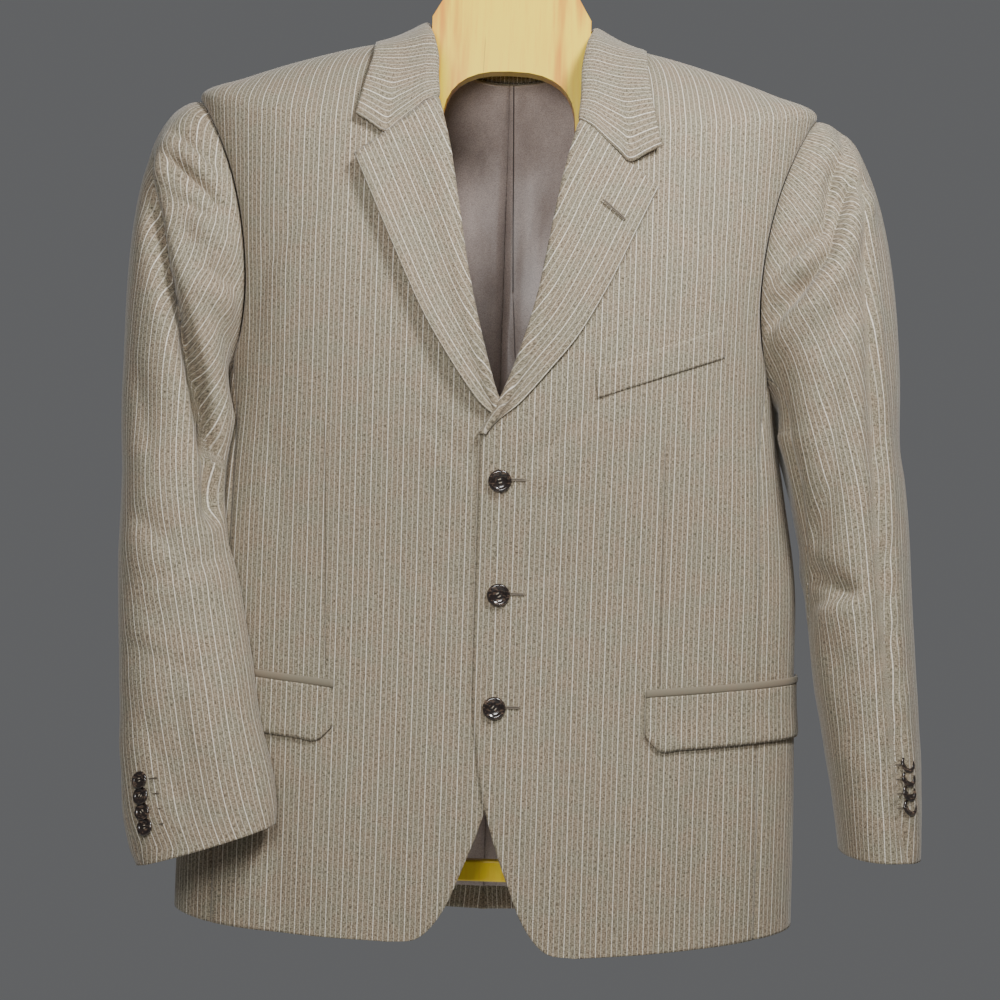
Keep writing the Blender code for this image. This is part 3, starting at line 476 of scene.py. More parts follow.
def clear_of_body(points, gap):
    """Points inside the body's level ring, grown by gap, are walked out to it down the slope."""
    for _ in range(6):
        row = through(TORSO[:, 0], TORSO[:, 1:], points[..., 2])
        a = row[..., 0] + gap
        b = np.where(points[..., 1] < 0, row[..., 2], row[..., 4]) + gap
        n = row[..., 6]
        px, py = np.abs(points[..., 0]) / a, np.abs(points[..., 1]) / b
        reach = np.maximum((px**n + py**n) ** (1 / n), 1e-6)
        slope_x = np.sign(points[..., 0]) * (px / reach) ** (n - 1) / a
        slope_y = np.sign(points[..., 1]) * (py / reach) ** (n - 1) / b
        step = np.maximum(1 - reach, 0) / (slope_x**2 + slope_y**2)
        points = points + np.stack([slope_x * step, slope_y * step, 0 * step], -1)
    return points


def folds(side, height, angle):
    """Depth of the drawn folds at a height and an angle round the sleeve, positive inward."""
    radius = 58 * math.pi / 180
    depth = np.zeros(np.broadcast(height, angle).shape)
    for h0, a0, h1, a1, half_width, deep in SLEEVE_FOLDS[side]:
        run = np.array((h1 - h0, (a1 - a0) * radius))
        off = np.stack(np.broadcast_arrays(height - h0, (angle - a0) * radius), -1)
        share = off @ run / (run @ run)
        aside = off - np.clip(share, 0, 1)[..., None] * run
        ends = smooth(share, -0.1, 0.25) * (1 - smooth(share, 0.75, 1.1))
        depth += deep * ends * np.exp(-np.sum(aside**2, -1) / half_width**2)
    return depth


def sleeve_ring(side, height, angle):
    """A point of the sleeve below the armhole, on the ring with this height at its middle."""
    table = SLEEVES[side][::-1]
    middle_x, middle_y, half_w, half_d, slope = np.moveaxis(
        through(table[:, 0], table[:, 1:], height), -1, 0
    )
    cosine, sine = np.cos(np.radians(angle)), np.sin(np.radians(angle))
    out = half_w * np.sign(cosine) * np.abs(cosine) ** 0.92
    front = half_d * np.sign(sine) * np.abs(sine) ** 0.92
    return np.stack([middle_x + out, middle_y - front, height + slope * out + 0 * front], -1)


def sleeve_grid(side, top_angles, cuff_fore, cuff_hind):
    """Rows from the armhole to the cuff. Each seam drifts round from its top to its cuff angle."""
    gap = np.sign(top_angles[-1] - top_angles[0]) * SLEEVE_SEAM_TURN
    top_angles = np.concatenate([[top_angles[0] + gap], top_angles[1:-1], [top_angles[-1] - gap]])
    cuff_angles = np.linspace(cuff_fore + gap, cuff_hind - gap, len(top_angles))
    start_place = armhole(top_angles, -SLEEVE_WALL - ARMHOLE_GAP)
    start = skin(start_place, 0.3)
    end = sleeve_ring(side, BICEP_HEIGHT, top_angles)
    end = clear_of_body(end, BODY_CLEARANCE)
    reach = np.linalg.norm(end - start, axis=-1, keepdims=True)
    leave = torso_normal(start_place) * np.maximum(0.72 * reach, 30)
    arrive = np.array((0, 0, -0.85)) * np.maximum(reach, 30)
    rows = []
    for w in CAP_STEPS:
        point = (
            start * (1 + 2 * w) * (1 - w) ** 2
            + end * w * w * (3 - 2 * w)
            + leave * w * (1 - w) ** 2
            + arrive * w * w * (w - 1)
        )
        rows.append((point, np.broadcast_to(top_angles, point.shape[:1]), w))
    foot = SLEEVES[side][-1, 0]
    for w in SLEEVE_STEPS:
        angles = top_angles + (cuff_angles - top_angles) * smooth(w, 0, 1)
        height = BICEP_HEIGHT + (foot - BICEP_HEIGHT) * w
        rows.append((sleeve_ring(side, height, angles), angles, 1.0))
    grid = np.stack([row[0] for row in rows])
    angles = np.stack([row[1] for row in rows])
    share = np.array([row[2] for row in rows])[:, None]
    middle = grid.mean(axis=1, keepdims=True)
    inward = unit((middle - grid) * (1, 1, 0.3))
    depth = folds(side, grid[..., 2], angles) * smooth(share, 0, 0.25)
    grid = grid + inward * depth[..., None]
    cleared = clear_of_body(grid, BODY_CLEARANCE)
    return grid + (cleared - grid) * smooth(share, 0.1, 0.55)[..., None]


def flap_places(side, low_edge, high_edge):
    """A strip along the pocket: its two edges are given as height above the pocket's mouth."""
    start = float(on_front(FLAP_START_X, FLAP_TOP)[0])
    u = 0.5 - 0.5 * np.cos(np.linspace(0, math.pi, 13))
    u = 0.5 * u + 0.5 * np.linspace(0, 1, 13)
    turn = start + (FLAP_END_TURN - start) * u
    x = torso(turn, np.full(turn.shape, FLAP_TOP))[:, 0]
    mouth = FLAP_TOP + FLAP_SLOPE * (x - FLAP_START_X)
    rows = np.linspace(0, 1, 5 if high_edge == 0 else 2)[:, None]
    low, high = low_edge(x), np.full(x.shape, float(high_edge))
    level = mouth + low + (high - low) * rows
    return np.stack([np.broadcast_to(turn, level.shape), level], -1)


def flap_foot(x):
    """The flap's lower edge, its front corner rounded by a quarter circle."""
    into = np.clip(FLAP_CORNER - (x - FLAP_START_X), 0, FLAP_CORNER)
    return -FLAP_DEPTH + FLAP_CORNER - np.sqrt(FLAP_CORNER**2 - into**2)


# ---------------------------------------------------------------- materials

def node(tree, kind, inputs=(), **settings):
    """One shader node: its settings, then each input linked to a socket or given its value."""
    made = tree.nodes.new(f"ShaderNode{kind}")
    for key, value in settings.items():
        setattr(made, key, value)
    for key, value in dict(inputs).items():
        if isinstance(value, bpy.types.NodeSocket):
            tree.links.new(value, made.inputs[key])
        else:
            made.inputs[key].default_value = value
    return made


def maths(tree, operation, first, second=0.0, third=0.0):
    """One operation on up to three values."""
    inputs = {0: first, 1: second, 2: third}
    return node(tree, "Math", inputs, operation=operation).outputs[0]


def ramp(tree, value, low, high, start=0.0, end=1.0):
    """A smooth step from start to end as value goes from low to high."""
    inputs = {"Value": value, "From Min": low, "From Max": high, "To Min": start, "To Max": end}
    made = node(tree, "MapRange", inputs, interpolation_type="SMOOTHSTEP")
    return made.outputs["Result"]


def mixed(tree, factor, first, second, blend="MIX"):
    """Two colours mixed by a factor."""
    inputs = {"Factor": factor, 6: first, 7: second}
    return node(tree, "Mix", inputs, data_type="RGBA", blend_type=blend).outputs[2]


def group(name, inputs, outputs):
    """An empty node group with these sockets: (name, kind, default) in, (name, kind) out."""
    tree = bpy.data.node_groups.new(name, "ShaderNodeTree")
    for label, kind, default in inputs:
        socket = tree.interface.new_socket(label, in_out="INPUT", socket_type=f"NodeSocket{kind}")
        if default is not None:
            socket.default_value = default
    for label, kind in outputs:
        tree.interface.new_socket(label, in_out="OUTPUT", socket_type=f"NodeSocket{kind}")
    given = tree.nodes.new("NodeGroupInput")
    taken = tree.nodes.new("NodeGroupOutput")
    return tree, given.outputs, taken.inputs


def use(tree, shared, inputs=()):
    """The outputs of a shared effect, placed with its own values."""
    return node(tree, "Group", inputs, node_tree=shared).outputs


def scaled(tree, vector, x, y, z):
    """A place with each axis multiplied, so that a pattern gets longer where it is below 1."""
    inputs = {"Vector": vector, "Scale": (x, y, z)}
    return node(tree, "Mapping", inputs).outputs[0]


def noise(tree, vector, scale, detail=2.0, rough=0.5):
    """Soft random levels over a place, from 0 to 1."""
    inputs = {"Vector": vector, "Scale": scale, "Detail": detail, "Roughness": rough}
    return node(tree, "TexNoise", inputs).outputs["Fac"]


def pinstripe_group():
    """Thin lines at an even pitch across the cloth. Every third one is bright."""
    tree, given, taken = group(
        "Pinstripe",
        (("Across", "Float", 0.0), ("Along", "Float", 0.0), ("Pitch", "Float", 0.00435)),
        (("Mask", "Float"),),
    )
    count = maths(tree, "DIVIDE", given["Across"], given["Pitch"])
    off = maths(tree, "ABSOLUTE", maths(tree, "SUBTRACT", maths(tree, "FRACT", count), 0.5))
    line = ramp(tree, off, 0.04, 0.11, 1.0, 0.0)
    third = maths(tree, "FRACT", maths(tree, "DIVIDE", maths(tree, "FLOOR", count), 3.0))
    bright = ramp(tree, third, 0.1, 0.3, 1.0, STRIPE_FAINT)
    dash = node(tree, "CombineXYZ", {0: maths(tree, "FLOOR", count), 1: given["Along"]}).outputs[0]
    broken = noise(tree, scaled(tree, dash, 1.0, 900.0, 1.0), 1.0, 1.0)
    even = ramp(tree, broken, 0.35, 0.6, 0.4, 1.0)
    mask = maths(tree, "MULTIPLY", maths(tree, "MULTIPLY", line, bright), even)
    tree.links.new(mask, taken["Mask"])
    return tree


def weave_group():
    """The cloth's mixed yarns: short streaks up and across the flat cloth, crossing as a weave,
    and slow warm and green shifts over the body."""
    tree, given, taken = group(
        "Weave",
        (("Flat", "Vector", None), ("Place", "Vector", None)),
        (("Yarn", "Float"), ("Slow", "Float")),
    )
    warp = noise(tree, scaled(tree, given["Flat"], 1.0, 0.16, 1.0), 2300.0, 2.0, 0.6)
    weft = noise(tree, scaled(tree, given["Flat"], 0.2, 1.0, 1.0), 2100.0, 2.0, 0.6)
    slow = noise(tree, given["Place"], 48.0, 3.0, 0.6)
    yarn = maths(tree, "MULTIPLY", maths(tree, "ADD", warp, weft), 0.5)
    tree.links.new(yarn, taken["Yarn"])
    tree.links.new(slow, taken["Slow"])
    return tree


def drawn_line_group():
    """A soft line between two points of the front view, as a mask that is 1 on it."""
    tree, given, taken = group(
        "Drawn line",
        (
            ("Place", "Vector", None), ("X", "Float", 0.0), ("Z", "Float", 0.0),
            ("Low Z", "Float", 0.0), ("Slope", "Float", 0.0), ("Half", "Float", 0.0009),
        ),
        (("Mask", "Float"),),
    )  # fmt: skip
    part = node(tree, "SeparateXYZ", {0: given["Place"]}).outputs
    drop = maths(tree, "SUBTRACT", part["Z"], given["Z"])
    line_x = maths(tree, "MULTIPLY_ADD", drop, given["Slope"], given["X"])
    off = maths(tree, "ABSOLUTE", maths(tree, "SUBTRACT", part["X"], line_x))
    share = maths(tree, "DIVIDE", off, given["Half"])
    line = ramp(tree, share, 0.35, 1.0, 1.0, 0.0)
    above = ramp(tree, maths(tree, "SUBTRACT", part["Z"], given["Low Z"]), 0.0, 0.004)
    below = ramp(tree, drop, -0.012, 0.0, 1.0, 0.0)
    inside = maths(tree, "MULTIPLY", above, below)
    tree.links.new(maths(tree, "MULTIPLY", line, inside), taken["Mask"])
    return tree


def surface(name):
    """A new material: its tree and its Principled node."""
    material = bpy.data.materials.new(name)
    material.use_nodes = True
    tree = material.node_tree
    return material, tree, tree.nodes["Principled BSDF"]


def shade(tree, principled, base, constants):
    """The surface's colour, and the shader's values that are the same all over it."""
    tree.links.new(base, principled.inputs["Base Color"])
    for socket, value in constants.items():
        principled.inputs[socket].default_value = value


def colour(red, green, blue):
    """A colour as the eye sees it, 0 to 255, in the linear values that shading takes."""
    return (*[((c / 255 + 0.055) / 1.055) ** 2.4 for c in (red, green, blue)], 1.0)


def bumped(tree, principled, height, distance, strength=1.0):
    """Fine relief on the shader from a height that changes over the surface."""
    inputs = {"Height": height, "Distance": distance, "Strength": strength}
    tree.links.new(node(tree, "Bump", inputs).outputs[0], principled.inputs["Normal"])


def place_of(tree):
    """Each point's own place on the object, in metres."""
    return node(tree, "TexCoord").outputs["Object"]


def line_mask(tree, place, table):
    """All the drawn lines of a table together: the largest of their masks."""
    total = None
    for x0, h0, x1, h1, half in table:
        inputs = {
            "Place": place, "X": x0 * MM, "Z": (h0 - HOOK_HEIGHT) * MM, "Half": half * MM,
            "Low Z": (h1 - HOOK_HEIGHT) * MM, "Slope": (x1 - x0) / (h1 - h0),
        }  # fmt: skip
        mask = use(tree, DRAWN_LINE, inputs)["Mask"]
        total = mask if total is None else maths(tree, "MAXIMUM", total, mask)
    return total


def wool_material():
    """Pinstriped wool: two yarns by the weave, tinted slowly, with stripes and painted shade along
    the dart lines.
    """
    material, tree, principled = surface("wool_pinstripe")
    place = place_of(tree)
    flat = node(tree, "UVMap", uv_map="cloth").outputs[0]
    part = node(tree, "SeparateXYZ", {0: flat}).outputs
    stripe = use(tree, PINSTRIPE, {"Across": part["X"], "Along": part["Y"]})["Mask"]
    weave = use(tree, WEAVE, {"Flat": flat, "Place": place})
    ground = mixed(tree, ramp(tree, weave["Yarn"], 0.4, 0.6), WOOL_DARK, WOOL_LIGHT)
    tint = ramp(tree, weave["Slow"], 0.35, 0.65)
    ground = mixed(tree, 1.0, ground, mixed(tree, tint, WOOL_WARM, WOOL_GREEN), "MULTIPLY")
    striped = mixed(tree, maths(tree, "MULTIPLY", stripe, STRIPE_STRENGTH), ground, WOOL_STRIPE)
    # The dart lines: painted shade that darkens the cloth over their sewn grooves, beside a bump
    # pressed in along them.
    line = line_mask(tree, place, DART_SHADE_LINES)
    shaded = mixed(tree, maths(tree, "MULTIPLY", line, 0.4), striped, WOOL_DART_SHADE)
    shade(tree, principled, shaded, {
        "Roughness": 0.82, "Sheen Weight": 0.18, "Sheen Roughness": 0.45,
        "Specular IOR Level": 0.3,
    })  # fmt: skip
    relief = maths(tree, "MULTIPLY_ADD", line, -2.4, maths(tree, "ADD", weave["Yarn"], stripe))
    bumped(tree, principled, relief, 0.00022, 0.8)
    return material


def lining_material():
    """Satin: fine threads, slow darker clouds, painted shade down the centre tuck and a soft creased
    relief.
    """
    material, tree, principled = surface("lining_satin")
    place = place_of(tree)
    threads = noise(tree, scaled(tree, place, 0.35, 1.0, 1.0), 2600.0, 1.0)
    slow = noise(tree, scaled(tree, place, 1.0, 1.0, 0.5), 40.0, 3.0, 0.6)
    base = mixed(tree, ramp(tree, threads, 0.3, 0.7), LINING_DARK, LINING_LIGHT)
    base = mixed(tree, ramp(tree, slow, 0.35, 0.65, 0.0, 0.3), base, LINING_SHADE)
    # Painted shade: a near-black line down the centre back, where the tuck folds in.
    line = line_mask(tree, place, LINING_CREASE_LINES)
    base = mixed(tree, maths(tree, "MULTIPLY", line, 0.85), base, LINING_CREASE_SHADE)
    shade(tree, principled, base, {"Roughness": 0.4, "Sheen Weight": 0.25})
    creased = noise(tree, scaled(tree, place, 1.0, 1.0, 0.45), 34.0, 2.0, 0.45)
    creased = maths(tree, "MULTIPLY_ADD", line, -0.5, creased)
    relief = maths(tree, "MULTIPLY_ADD", threads, 0.01, creased)
    bumped(tree, principled, relief, 0.003, 0.4)
    return material


def horn_material():
    """Polished dark horn with brown clouds."""
    material, tree, principled = surface("button_horn")
    place = place_of(tree)
    cloud = noise(tree, scaled(tree, place, 1.0, 1.0, 2.2), 240.0, 4.0, 0.6)
    base = mixed(tree, ramp(tree, cloud, 0.5, 0.72), HORN_DARK, HORN_LIGHT)
    gloss = {"Roughness": 0.22, "Coat Weight": 0.5, "Coat Roughness": 0.1}
    shade(tree, principled, base, gloss)
    return material


def plain_material(name, base, roughness, metallic=0.0, grain=0.0, scale=400.0):
    """One colour with a fine mottle, as for thread, the painted shade of holes, steel and the floor.
    """
    material, tree, principled = surface(name)
    mottle = noise(tree, place_of(tree), scale, 3.0)
    level = ramp(tree, mottle, 0.3, 0.7, 1 - grain, 1 + grain)
    value = node(tree, "CombineColor", {0: level, 1: level, 2: level}).outputs[0]
    mottled = mixed(tree, 1.0, base, value, "MULTIPLY")
    shade(tree, principled, mottled, {"Roughness": roughness, "Metallic": metallic})
    return material


def wood_material():
    """Pale varnished softwood: long grain lines up the board, wider bands, and orange streaks in
    bands towards the board's two side edges.
    """
    material, tree, principled = surface("wood_varnished")
    place = place_of(tree)
    grain = noise(tree, scaled(tree, place, 1.0, 1.0, 0.06), 330.0, 4.0, 0.65)
    band = noise(tree, scaled(tree, place, 1.0, 1.0, 0.1), 55.0, 3.0, 0.55)
    base = mixed(tree, ramp(tree, grain, 0.45, 0.75, 0.0, 0.5), WOOD_PALE, WOOD_GRAIN)
    part = node(tree, "SeparateXYZ", {0: place}).outputs
    # Orange only towards the board's two side edges, where the wide bands allow it.
    edge = ramp(tree, maths(tree, "ABSOLUTE", maths(tree, "ADD", part["X"], 0.004)), 0.026, 0.046)
    streak = maths(tree, "MULTIPLY", edge, ramp(tree, band, 0.4, 0.6))
    base = mixed(tree, maths(tree, "MULTIPLY", streak, 0.75), base, WOOD_ORANGE)
    line = line_mask(tree, place, WOOD_LINES)
    base = mixed(tree, maths(tree, "MULTIPLY", line, 0.6), base, WOOD_GLUE)
    varnish = {"Roughness": 0.35, "Coat Weight": 0.25, "Coat Roughness": 0.15}
    shade(tree, principled, base, varnish)
    bumped(tree, principled, grain, 0.0003, 0.3)
    return material


STRIPE_FAINT = 0.45
STRIPE_STRENGTH = 0.9
JET_BRIGHT = 2.62
WOOL_DARK = colour(80, 71, 59)
WOOL_LIGHT = colour(170, 158, 137)
WOOL_WARM = (1.04, 0.98, 0.93, 1.0)
WOOL_GREEN = (0.97, 1.01, 0.97, 1.0)
WOOL_STRIPE = colour(252, 244, 228)
# Painted shade for the front darts' lines.
WOOL_DART_SHADE = colour(70, 62, 52)
LINING_DARK = colour(158, 142, 135)
LINING_LIGHT = colour(200, 184, 176)
LINING_SHADE = colour(118, 102, 96)
# Near black: painted shade for the crease of the lining's centre tuck.
LINING_CREASE_SHADE = colour(36, 30, 30)
HORN_DARK = colour(34, 27, 24)
HORN_LIGHT = colour(112, 92, 76)
WOOD_PALE = colour(255, 220, 40)
WOOD_GRAIN = colour(244, 186, 30)
WOOD_ORANGE = colour(214, 108, 8)
WOOD_GLUE = colour(160, 110, 50)

# Lines seen on the cloth and the wood: x, height, x, height at the lower end, half width.
# Painted shade along the two front darts' sewn grooves.
DART_SHADE_LINES = ((-142, 434, -136, 228, 1.0), (136.5, 427, 140, 221, 1.0))
# Painted shade down the lining's centre seam, where its tuck folds in.
LINING_CREASE_LINES = ((2.5, 770, 9, 560, 0.9), (9, 562, 13, 500, 0.6))
WOOD_LINES = ((-22, 772, -23, 735, 0.5),)

PINSTRIPE = pinstripe_group()
WEAVE = weave_group()
DRAWN_LINE = drawn_line_group()
WOOL = wool_material()
LINING = lining_material()
HORN = horn_material()
WOOD = wood_material()
THREAD = plain_material("thread_brown", colour(112, 102, 88), 0.8, grain=0.25, scale=2500.0)
BUTTON_THREAD = plain_material("thread_pale", colour(150, 140, 124), 0.8, grain=0.2, scale=2500.0)
# Near black: painted shade that stands in for the inside of button holes and buttonhole slits.
HOLE_SHADE = plain_material("painted_hole_shade", colour(12, 10, 9), 0.6)
STEEL = plain_material("steel_wire", colour(205, 205, 205), 0.28, metallic=1.0, grain=0.05)
FLOOR = plain_material("floor_pale", colour(206, 206, 204), 0.9, grain=0.03, scale=20.0)


# ---------------------------------------------------------------- finer surfaces

STEPS = {"front": (6, 7), "back": (7, 8), "side": (8, 6), "upper": (10, 11), "under": (8, 8)}


def finer(grid, rows, columns):
    """The same surface with more steps: smooth curves through its rows, then its columns."""
    for axis, steps in ((0, rows), (1, columns)):
        grid = np.moveaxis(grid, axis, 0)
        at = np.linspace(0, len(grid) - 1, (len(grid) - 1) * steps + 1)
        flat = through(np.arange(len(grid)), grid.reshape(len(grid), -1), at)
        grid = np.moveaxis(flat.reshape(len(at), *grid.shape[1:]), 0, axis)
    return grid


def fine_places(places, rows, columns):
    """Finer (turn, level) places, kept below the neck's level."""
    return np.minimum(finer(places, rows, columns), (360, NECK_LEVEL))


def normals(grid):
    """Outward direction at each point: the slope along the columns crossed with that up the rows."""
    return unit(np.cross(np.gradient(grid, axis=1), np.gradient(grid, axis=0)))


def run_along(grid, axis):
    """Length of cloth from the grid's first row or column to each point."""
    step = np.linalg.norm(np.diff(grid, axis=axis), axis=-1)
    start = np.zeros_like(np.take(step, [0], axis=axis))
    return np.concatenate([start, np.cumsum(step, axis=axis)], axis=axis)


def moved_out(grid, out):
    """The grid moved out along its own normals, by some millimetres at each point."""
    return grid + normals(grid) * out[..., None]


SEAM_DIPS = {
    # depth and width of the dip along each kind of sewn edge
    "body": (1.3, 3.0),
    "sleeve": (1.0, 3.0),
    "free edge": (0.7, 2.5),
    "lapel head": (0.9, 2.5),
    "collar end": (0.8, 2.5),
    "flap": (0.9, 2.0),
    "flap roll": (1.6, 16),
    "welt": (0.5, 2),
}


def seam_dip(grid, edges, kind):
    """The cloth dips towards a sewn edge: a bell over the distance from that edge."""
    depth, width = SEAM_DIPS[kind]
    total = np.zeros(grid.shape[:2])
    for edge in edges:
        axis = 0 if edge in ("bottom", "top") else 1
        run = run_along(grid, axis)
        if edge in ("top", "last"):
            run = run.max(axis=axis, keepdims=True) - run
        total -= depth * np.exp(-((run / width) ** 2))
    return total


FOLD_STEEP = 0.55  # a fold's two sides as shares of its half width
FOLD_GENTLE = 1.15
LIP_PLACE = 1.7  # the lip's middle and width, in the same shares
LIP_WIDTH = 1.2


def drawn_folds(grid, rows, view):
    """Height of folds drawn on a front (-1) or back (+1) view.

    Each row is a trough between two points: half a narrow bell on its steep side, half a wide
    one on the other, and a low lip along the steep side. It fades at both ends, so that rows
    joined end to end read as one bent fold.
    """
    facing = smooth(view * normals(grid)[..., 1], 0.0, 0.4)
    x, h = grid[..., 0], grid[..., 2]
    height = np.zeros(x.shape)
    for x0, h0, x1, h1, width, depth, lip in rows:
        length = math.hypot(x1 - x0, h1 - h0)
        share = ((x - x0) * (x1 - x0) + (h - h0) * (h1 - h0)) / length**2
        aside = ((x - x0) * (h1 - h0) - (h - h0) * (x1 - x0)) / length
        ends = smooth(share, -0.2, 0.2) * (1 - smooth(share, 0.8, 1.2))
        aside = aside * np.sign(lip) / width
        trough = np.exp(-((aside / np.where(aside > 0, FOLD_STEEP, FOLD_GENTLE)) ** 2))
        ridge = np.exp(-(((aside - LIP_PLACE) / LIP_WIDTH) ** 2))
        height += depth * ends * (abs(lip) * ridge - trough)
    return height * facing


def ripple(grid, scale, seed):
    """Soft uneven waves: a sum of sines whose directions and phases come from a seed."""
    wave = np.random.default_rng(seed)
    height = np.zeros(grid.shape[:2])
    for _ in range(9):
        direction = unit(wave.normal(size=3) * (1.3, 0.8, 0.55))
        length = scale * wave.uniform(0.7, 1.9)
        height += np.sin(grid @ direction * (2 * math.pi / length) + wave.uniform(0, 6.28))
    return height / 9


WAVES = {
    # height, length and seed of each piece's soft waves
    "front": (0.5, 150, 3),
    "side": (0.6, 150, 5),
    "back": (0.8, 170, 9),
    "sleeve": (0.9, 120, 14),
    "lapel": (0.5, 90, 40),
    "flap": (0.7, 70, 50),
    "lining long": (3.2, 46, 21),
    "lining short": (2.6, 34, 33),
}


def waves(grid, kind, side):
    """A piece's soft waves: its ripple times its height."""
    height, length, seed = WAVES[kind]
    return height * ripple(grid, length, seed + side)


FLAT_TURNS = (-30, 184, 2.0)  # first, past the last, step
FLAT_LEVELS = (-60, 891, 10.0)


def laid_flat(places):
    """Where the body's cloth lies when flat: arc across from the centre front, then length up.

    Both lengths are summed over a table of the body's rings, and read from it between its rows.
    """
    turns = np.arange(*FLAT_TURNS)
    levels = np.arange(*FLAT_LEVELS)
    ring = torso(*np.meshgrid(turns, levels))
    across = np.hypot(*np.moveaxis(np.diff(ring[..., :2], axis=1), -1, 0))
    across = np.concatenate([np.zeros((len(levels), 1)), np.cumsum(across, axis=1)], 1)
    centre = np.searchsorted(turns, 0)
    across -= across[:, centre : centre + 1]
    up = run_along(ring, 0)
    table = np.stack([across, up], -1)
    i = np.clip((places[..., 1] - levels[0]) / FLAT_LEVELS[2], 0, len(levels) - 1.001)
    j = np.clip((places[..., 0] - turns[0]) / FLAT_TURNS[2], 0, len(turns) - 1.001)
    i0, j0 = i.astype(int), j.astype(int)
    fi, fj = (i - i0)[..., None], (j - j0)[..., None]
    low = table[i0, j0] * (1 - fj) + table[i0, j0 + 1] * fj
    high = table[i0 + 1, j0] * (1 - fj) + table[i0 + 1, j0 + 1] * fj
    return low * (1 - fi) + high * fi


def add_mesh(name, points, quads, flat, materials, slots=None):
    """A mesh object from points in millimetres, with its place in the flat cloth as a UV map."""
    mesh = bpy.data.meshes.new(name)
    mesh.vertices.add(len(points))
    mesh.vertices.foreach_set("co", ((points - (0, 0, HOOK_HEIGHT)) * MM).astype(np.float32).ravel())
    mesh.loops.add(quads.size)
    mesh.loops.foreach_set("vertex_index", quads.astype(np.int32).ravel())
    mesh.polygons.add(len(quads))
    mesh.polygons.foreach_set("loop_start", np.arange(0, quads.size, 4, dtype=np.int32))
    layer = mesh.uv_layers.new(name="cloth")
    layer.data.foreach_set("uv", (flat[quads.ravel()] * MM).astype(np.float32).ravel())
    mesh.polygons.foreach_set("use_smooth", np.ones(len(quads), bool))
    for material in materials:
        mesh.materials.append(material)
    if slots is not None:
        mesh.polygons.foreach_set("material_index", slots.astype(np.int32))
    mesh.update()
    mesh.validate()
    obj = bpy.data.objects.new(name, mesh)
    bpy.context.scene.collection.objects.link(obj)
    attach(obj, "root")
    return obj


def grid_quads(rows, columns):
    """Four-sided faces between neighbouring points of a grid that is numbered row by row."""
    index = np.arange(rows * columns).reshape(rows, columns)
    quads = np.stack([index[:-1, :-1], index[:-1, 1:], index[1:, 1:], index[1:, :-1]], -1)
    return quads.reshape(-1, 4)


def add_cloth(solid, grid, flat, wall, material=None):
    """A thin shell of cloth on a grid, which stands for the solid it follows."""
    quads = grid_quads(*grid.shape[:2])
    points, places = grid.reshape(-1, 3), flat.reshape(-1, 2)
    obj = add_mesh(f"{solid}_cloth", points, quads, places, [material or WOOL])
    shell = obj.modifiers.new("wall", "SOLIDIFY")
    shell.thickness = wall * MM
    shell.offset = 1.0
    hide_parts(solid)


def mirrored(side, grid, flat):
    """A grid and its flat cloth drawn for the wearer's left, mirrored for the right."""
    if side == LEFT:
        return grid, flat
    return (grid * (-1, 1, 1))[:, ::-1], (flat * (-1, 1))[:, ::-1]


def rows_for(side, rows):
    """Rows of folds drawn for the wearer's left, mirrored for the right."""
    return [
        (side * x0, h0, side * x1, h1, width, depth, side * lip)
        for x0, h0, x1, h1, width, depth, lip in rows
    ]


# ---------------------------------------------------------------- creases and cloth pieces

FRONT_FOLDS = {
    LEFT: (
        # x, height, x, height, half width, depth, lip: drawn on the front view
        (14, 392, 60, 432, 7, 1.1, 0.5),
        (60, 432, 92, 470, 9, 0.8, 0.4),
        (16, 384, 70, 372, 9, 0.8, -0.5),
        (20, 300, 62, 322, 8, 0.7, 0.5),
        (22, 206, 60, 214, 8, 0.5, -0.4),
        (150, 610, 196, 560, 12, 1.3, 0.5),
        (196, 560, 206, 500, 12, 1.2, 0.5),
        (60, 150, 74, 20, 16, 1.6, 0.5),
        (180, 140, 176, 20, 18, 1.8, -0.5),
    ),
    RIGHT: (
        (-20, 396, -66, 440, 8, 1.0, -0.5),
        (-18, 300, -60, 316, 9, 0.7, 0.4),
        (-196, 560, -204, 500, 12, 1.2, -0.5),
        (-150, 610, -196, 560, 12, 1.3, -0.5),
        (-70, 160, -84, 20, 16, 1.7, -0.5),
        (-178, 130, -170, 12, 17, 2.2, 0.6),
        (-186, 420, -176, 340, 14, 1.2, 0.4),
    ),
}
BACK_FOLDS = (
    # the same, drawn on the back view for the wearer's left: x, height, ...
    (60, 690, 130, 640, 16, 1.6, 0.5),
    (150, 600, 196, 540, 14, 1.8, 0.5),
    (196, 540, 200, 470, 14, 1.4, 0.4),
    (30, 430, 120, 410, 18, 1.4, -0.5),
    (90, 250, 96, 20, 20, 2.4, 0.5),
    (170, 230, 176, 10, 18, 2.0, -0.5),
)
